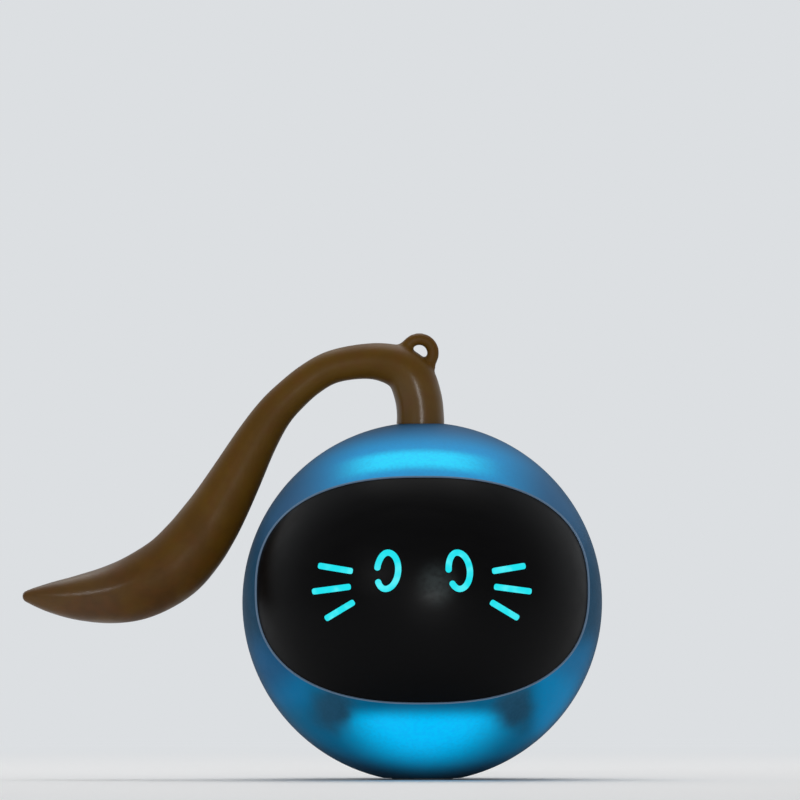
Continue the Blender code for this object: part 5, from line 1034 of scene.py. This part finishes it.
# %% Collar and stem
BORE_R, FLANGE_R, NECK_R, FLANGE_LOW, FLANGE_TOP, NECK_TOP = 2.6, 6.6, 4.4, 32.7, 33.9, 36.4
profile = [(BORE_R, FLANGE_LOW), (FLANGE_R, FLANGE_LOW), (FLANGE_R, FLANGE_TOP)]
profile += [(NECK_R, FLANGE_TOP), (NECK_R, NECK_TOP), (BORE_R, NECK_TOP)]
shape = turned(profile, sides=72, closed=True)
ease_edges(shape, 0.15)
small_piece("collar_ring", shape, "black_plastic", "tail_collar")
# The stem from below: a snap foot, the shank with its stop ring, and a barbed tip in the tail
STEM_R, FOOT_SNAP_R, STOP_R, BARB_R = 2.3, 3.2, 2.95, 2.5
profile = [(0, 30.9), (STEM_R, 30.9), (FOOT_SNAP_R, 31.9), (FOOT_SNAP_R, 32.4), (STEM_R, 32.4)]
profile += [(STEM_R, 36.7), (STOP_R, 36.7), (STOP_R, 37.6), (STEM_R, 37.6)]
profile += [(STEM_R, 39.85), (BARB_R, 39.85), (1.85, 41.4), (1.4, 42.2), (0, 42.2)]
shape = turned(profile, sides=64)
ease_edges(shape, 0.12)
small_piece("stem_pin", shape, "white_plastic", "tail_stem", "tail_stem")

# %% [markdown]
# ## Studio
# The ball stands on a pale sweep. A large softbox overhead gives the soft top light, two small ones
# in front put the highlights on the face and the tail, and a weak one at the back lifts the edge. A
# backdrop plane would show its own edge, so the floor fades into the world's colour. The camera is
# far off with a long lens.

# %% Camera
DISTANCE = 3.2
# The picture's middle lies left of the ball's centre and well above it
AIM_X, AIM_Z = -4.57 * mm, 41.6 * mm
scene = bpy.context.scene
camera = in_scene("camera", bpy.data.cameras.new("camera"))
camera.data.sensor_width = 36
camera.data.lens = 700
camera.location = (AIM_X, -DISTANCE, CENTRE.z)
camera.rotation_euler = (math.radians(90) + math.atan(AIM_Z / DISTANCE), 0, 0)
scene.camera = camera
scene.view_settings.view_transform = "Standard"
print("camera is", DISTANCE, "m away with a lens of", camera.data.lens, "mm")

# %% The floor's material
BACKDROP = linear("#dcdfe2")
# Uncoated paper: pale, without gloss. Far off it fades into the backdrop
paper, paper_shader, place = new_material("paper_sweep_matt", "#f5f6f7", 0.9)
far = add_node(paper, "VectorMath", {0: place}, operation="LENGTH")
far = region(paper, [(far.outputs["Value"], 90, 800)])
rays = add_node(paper, "LightPath", {})
seen = {0: rays.outputs["Is Camera Ray"], 1: rays.outputs["Is Glossy Ray"]}
seen = add_node(paper, "Math", seen, operation="MAXIMUM")
fading = add_node(paper, "Math", {0: far, 1: seen}, operation="MULTIPLY")
backdrop_light = add_node(paper, "Emission", {"Color": BACKDROP})
floor_mix = {0: fading, 1: paper_shader.outputs[0], 2: backdrop_light.outputs[0]}
floor_mix = add_node(paper, "MixShader", floor_mix)
# Seen from below, the floor is clear, so that the underside shows
facing = add_node(paper, "NewGeometry", {})
clear = add_node(paper, "BsdfTransparent", {})
floor_sides = {0: facing.outputs["Backfacing"], 1: floor_mix.outputs[0], 2: clear.outputs[0]}
floor_sides = add_node(paper, "MixShader", floor_sides)
feed(paper.node_tree.nodes["Material Output"], {"Surface": floor_sides.outputs[0]})
print("floor material:", len(paper.node_tree.nodes), "nodes")

# %% Floor
FLOOR_RADIUS = 2.5
floor_shape = bmesh.new()
bmesh.ops.create_circle(floor_shape, cap_ends=True, segments=96, radius=FLOOR_RADIUS)
floor = in_scene("floor", as_mesh("floor", floor_shape))
floor.data.materials.append(paper)
floor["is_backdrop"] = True
print("floor is", 2 * FLOOR_RADIUS, "m wide")

# %% Light from all sides
world = bpy.data.worlds.new("studio")
scene.world = world
world.use_nodes = True
room = world.node_tree.nodes["Background"]
feed(room, {"Color": linear("#ffffff"), "Strength": 0.4})
backdrop = add_node(world, "Background", {"Color": BACKDROP, "Strength": 1.0})
rays = add_node(world, "LightPath", {})
direction = add_node(world, "TexCoord", {})
direction = add_node(world, "SeparateXYZ", {"Vector": direction.outputs["Generated"]})
behind = region(world, [(direction.outputs["Y"], -0.1, 0.3)])
# Glossy rays see the backdrop behind the ball, and the dimmer room elsewhere
mirrored = {0: behind, 1: rays.outputs["Is Glossy Ray"]}
mirrored = add_node(world, "Math", mirrored, operation="MULTIPLY")
seen = rays.outputs["Is Camera Ray"]
for other in (rays.outputs["Is Transmission Ray"], mirrored):
    seen = add_node(world, "Math", {0: seen, 1: other}, operation="MAXIMUM")
world_mix = add_node(world, "MixShader", {0: seen, 1: room.outputs[0], 2: backdrop.outputs[0]})
feed(world.node_tree.nodes["World Output"], {"Surface": world_mix.outputs[0]})
print("world:", len(world.node_tree.nodes), "nodes")

# %% Softboxes
def softbox(name, shape, place, size, power):
    """A soft area light that faces the ball."""
    lamp = bpy.data.lights.new(name, "AREA")
    lamp.shape = shape
    lamp.size = lamp.size_y = size
    lamp.energy = power
    made = in_scene(name, lamp)
    made.location = place
    made.rotation_euler = (CENTRE - Vector(place)).to_track_quat("-Z", "Y").to_euler()
    made.visible_camera = False


softbox("softbox_top", "SQUARE", (0, 0.3, 0.95), 0.85, 4.6)
softbox("softbox_front", "DISK", (0.14, -1.3, 0.15), 0.22, 2.7)
softbox("softbox_tip", "DISK", (-0.63, -1.11, 0.42), 0.1, 1.1)
softbox("softbox_left", "DISK", (-0.8, 0.7, 0.5), 0.5, 0.5)
print("softboxes:", len(bpy.data.lights))

# %% Sizes for the record
low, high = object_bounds()
print("visual box, mm:", [round(1000 * side, 1) for side in high - low])
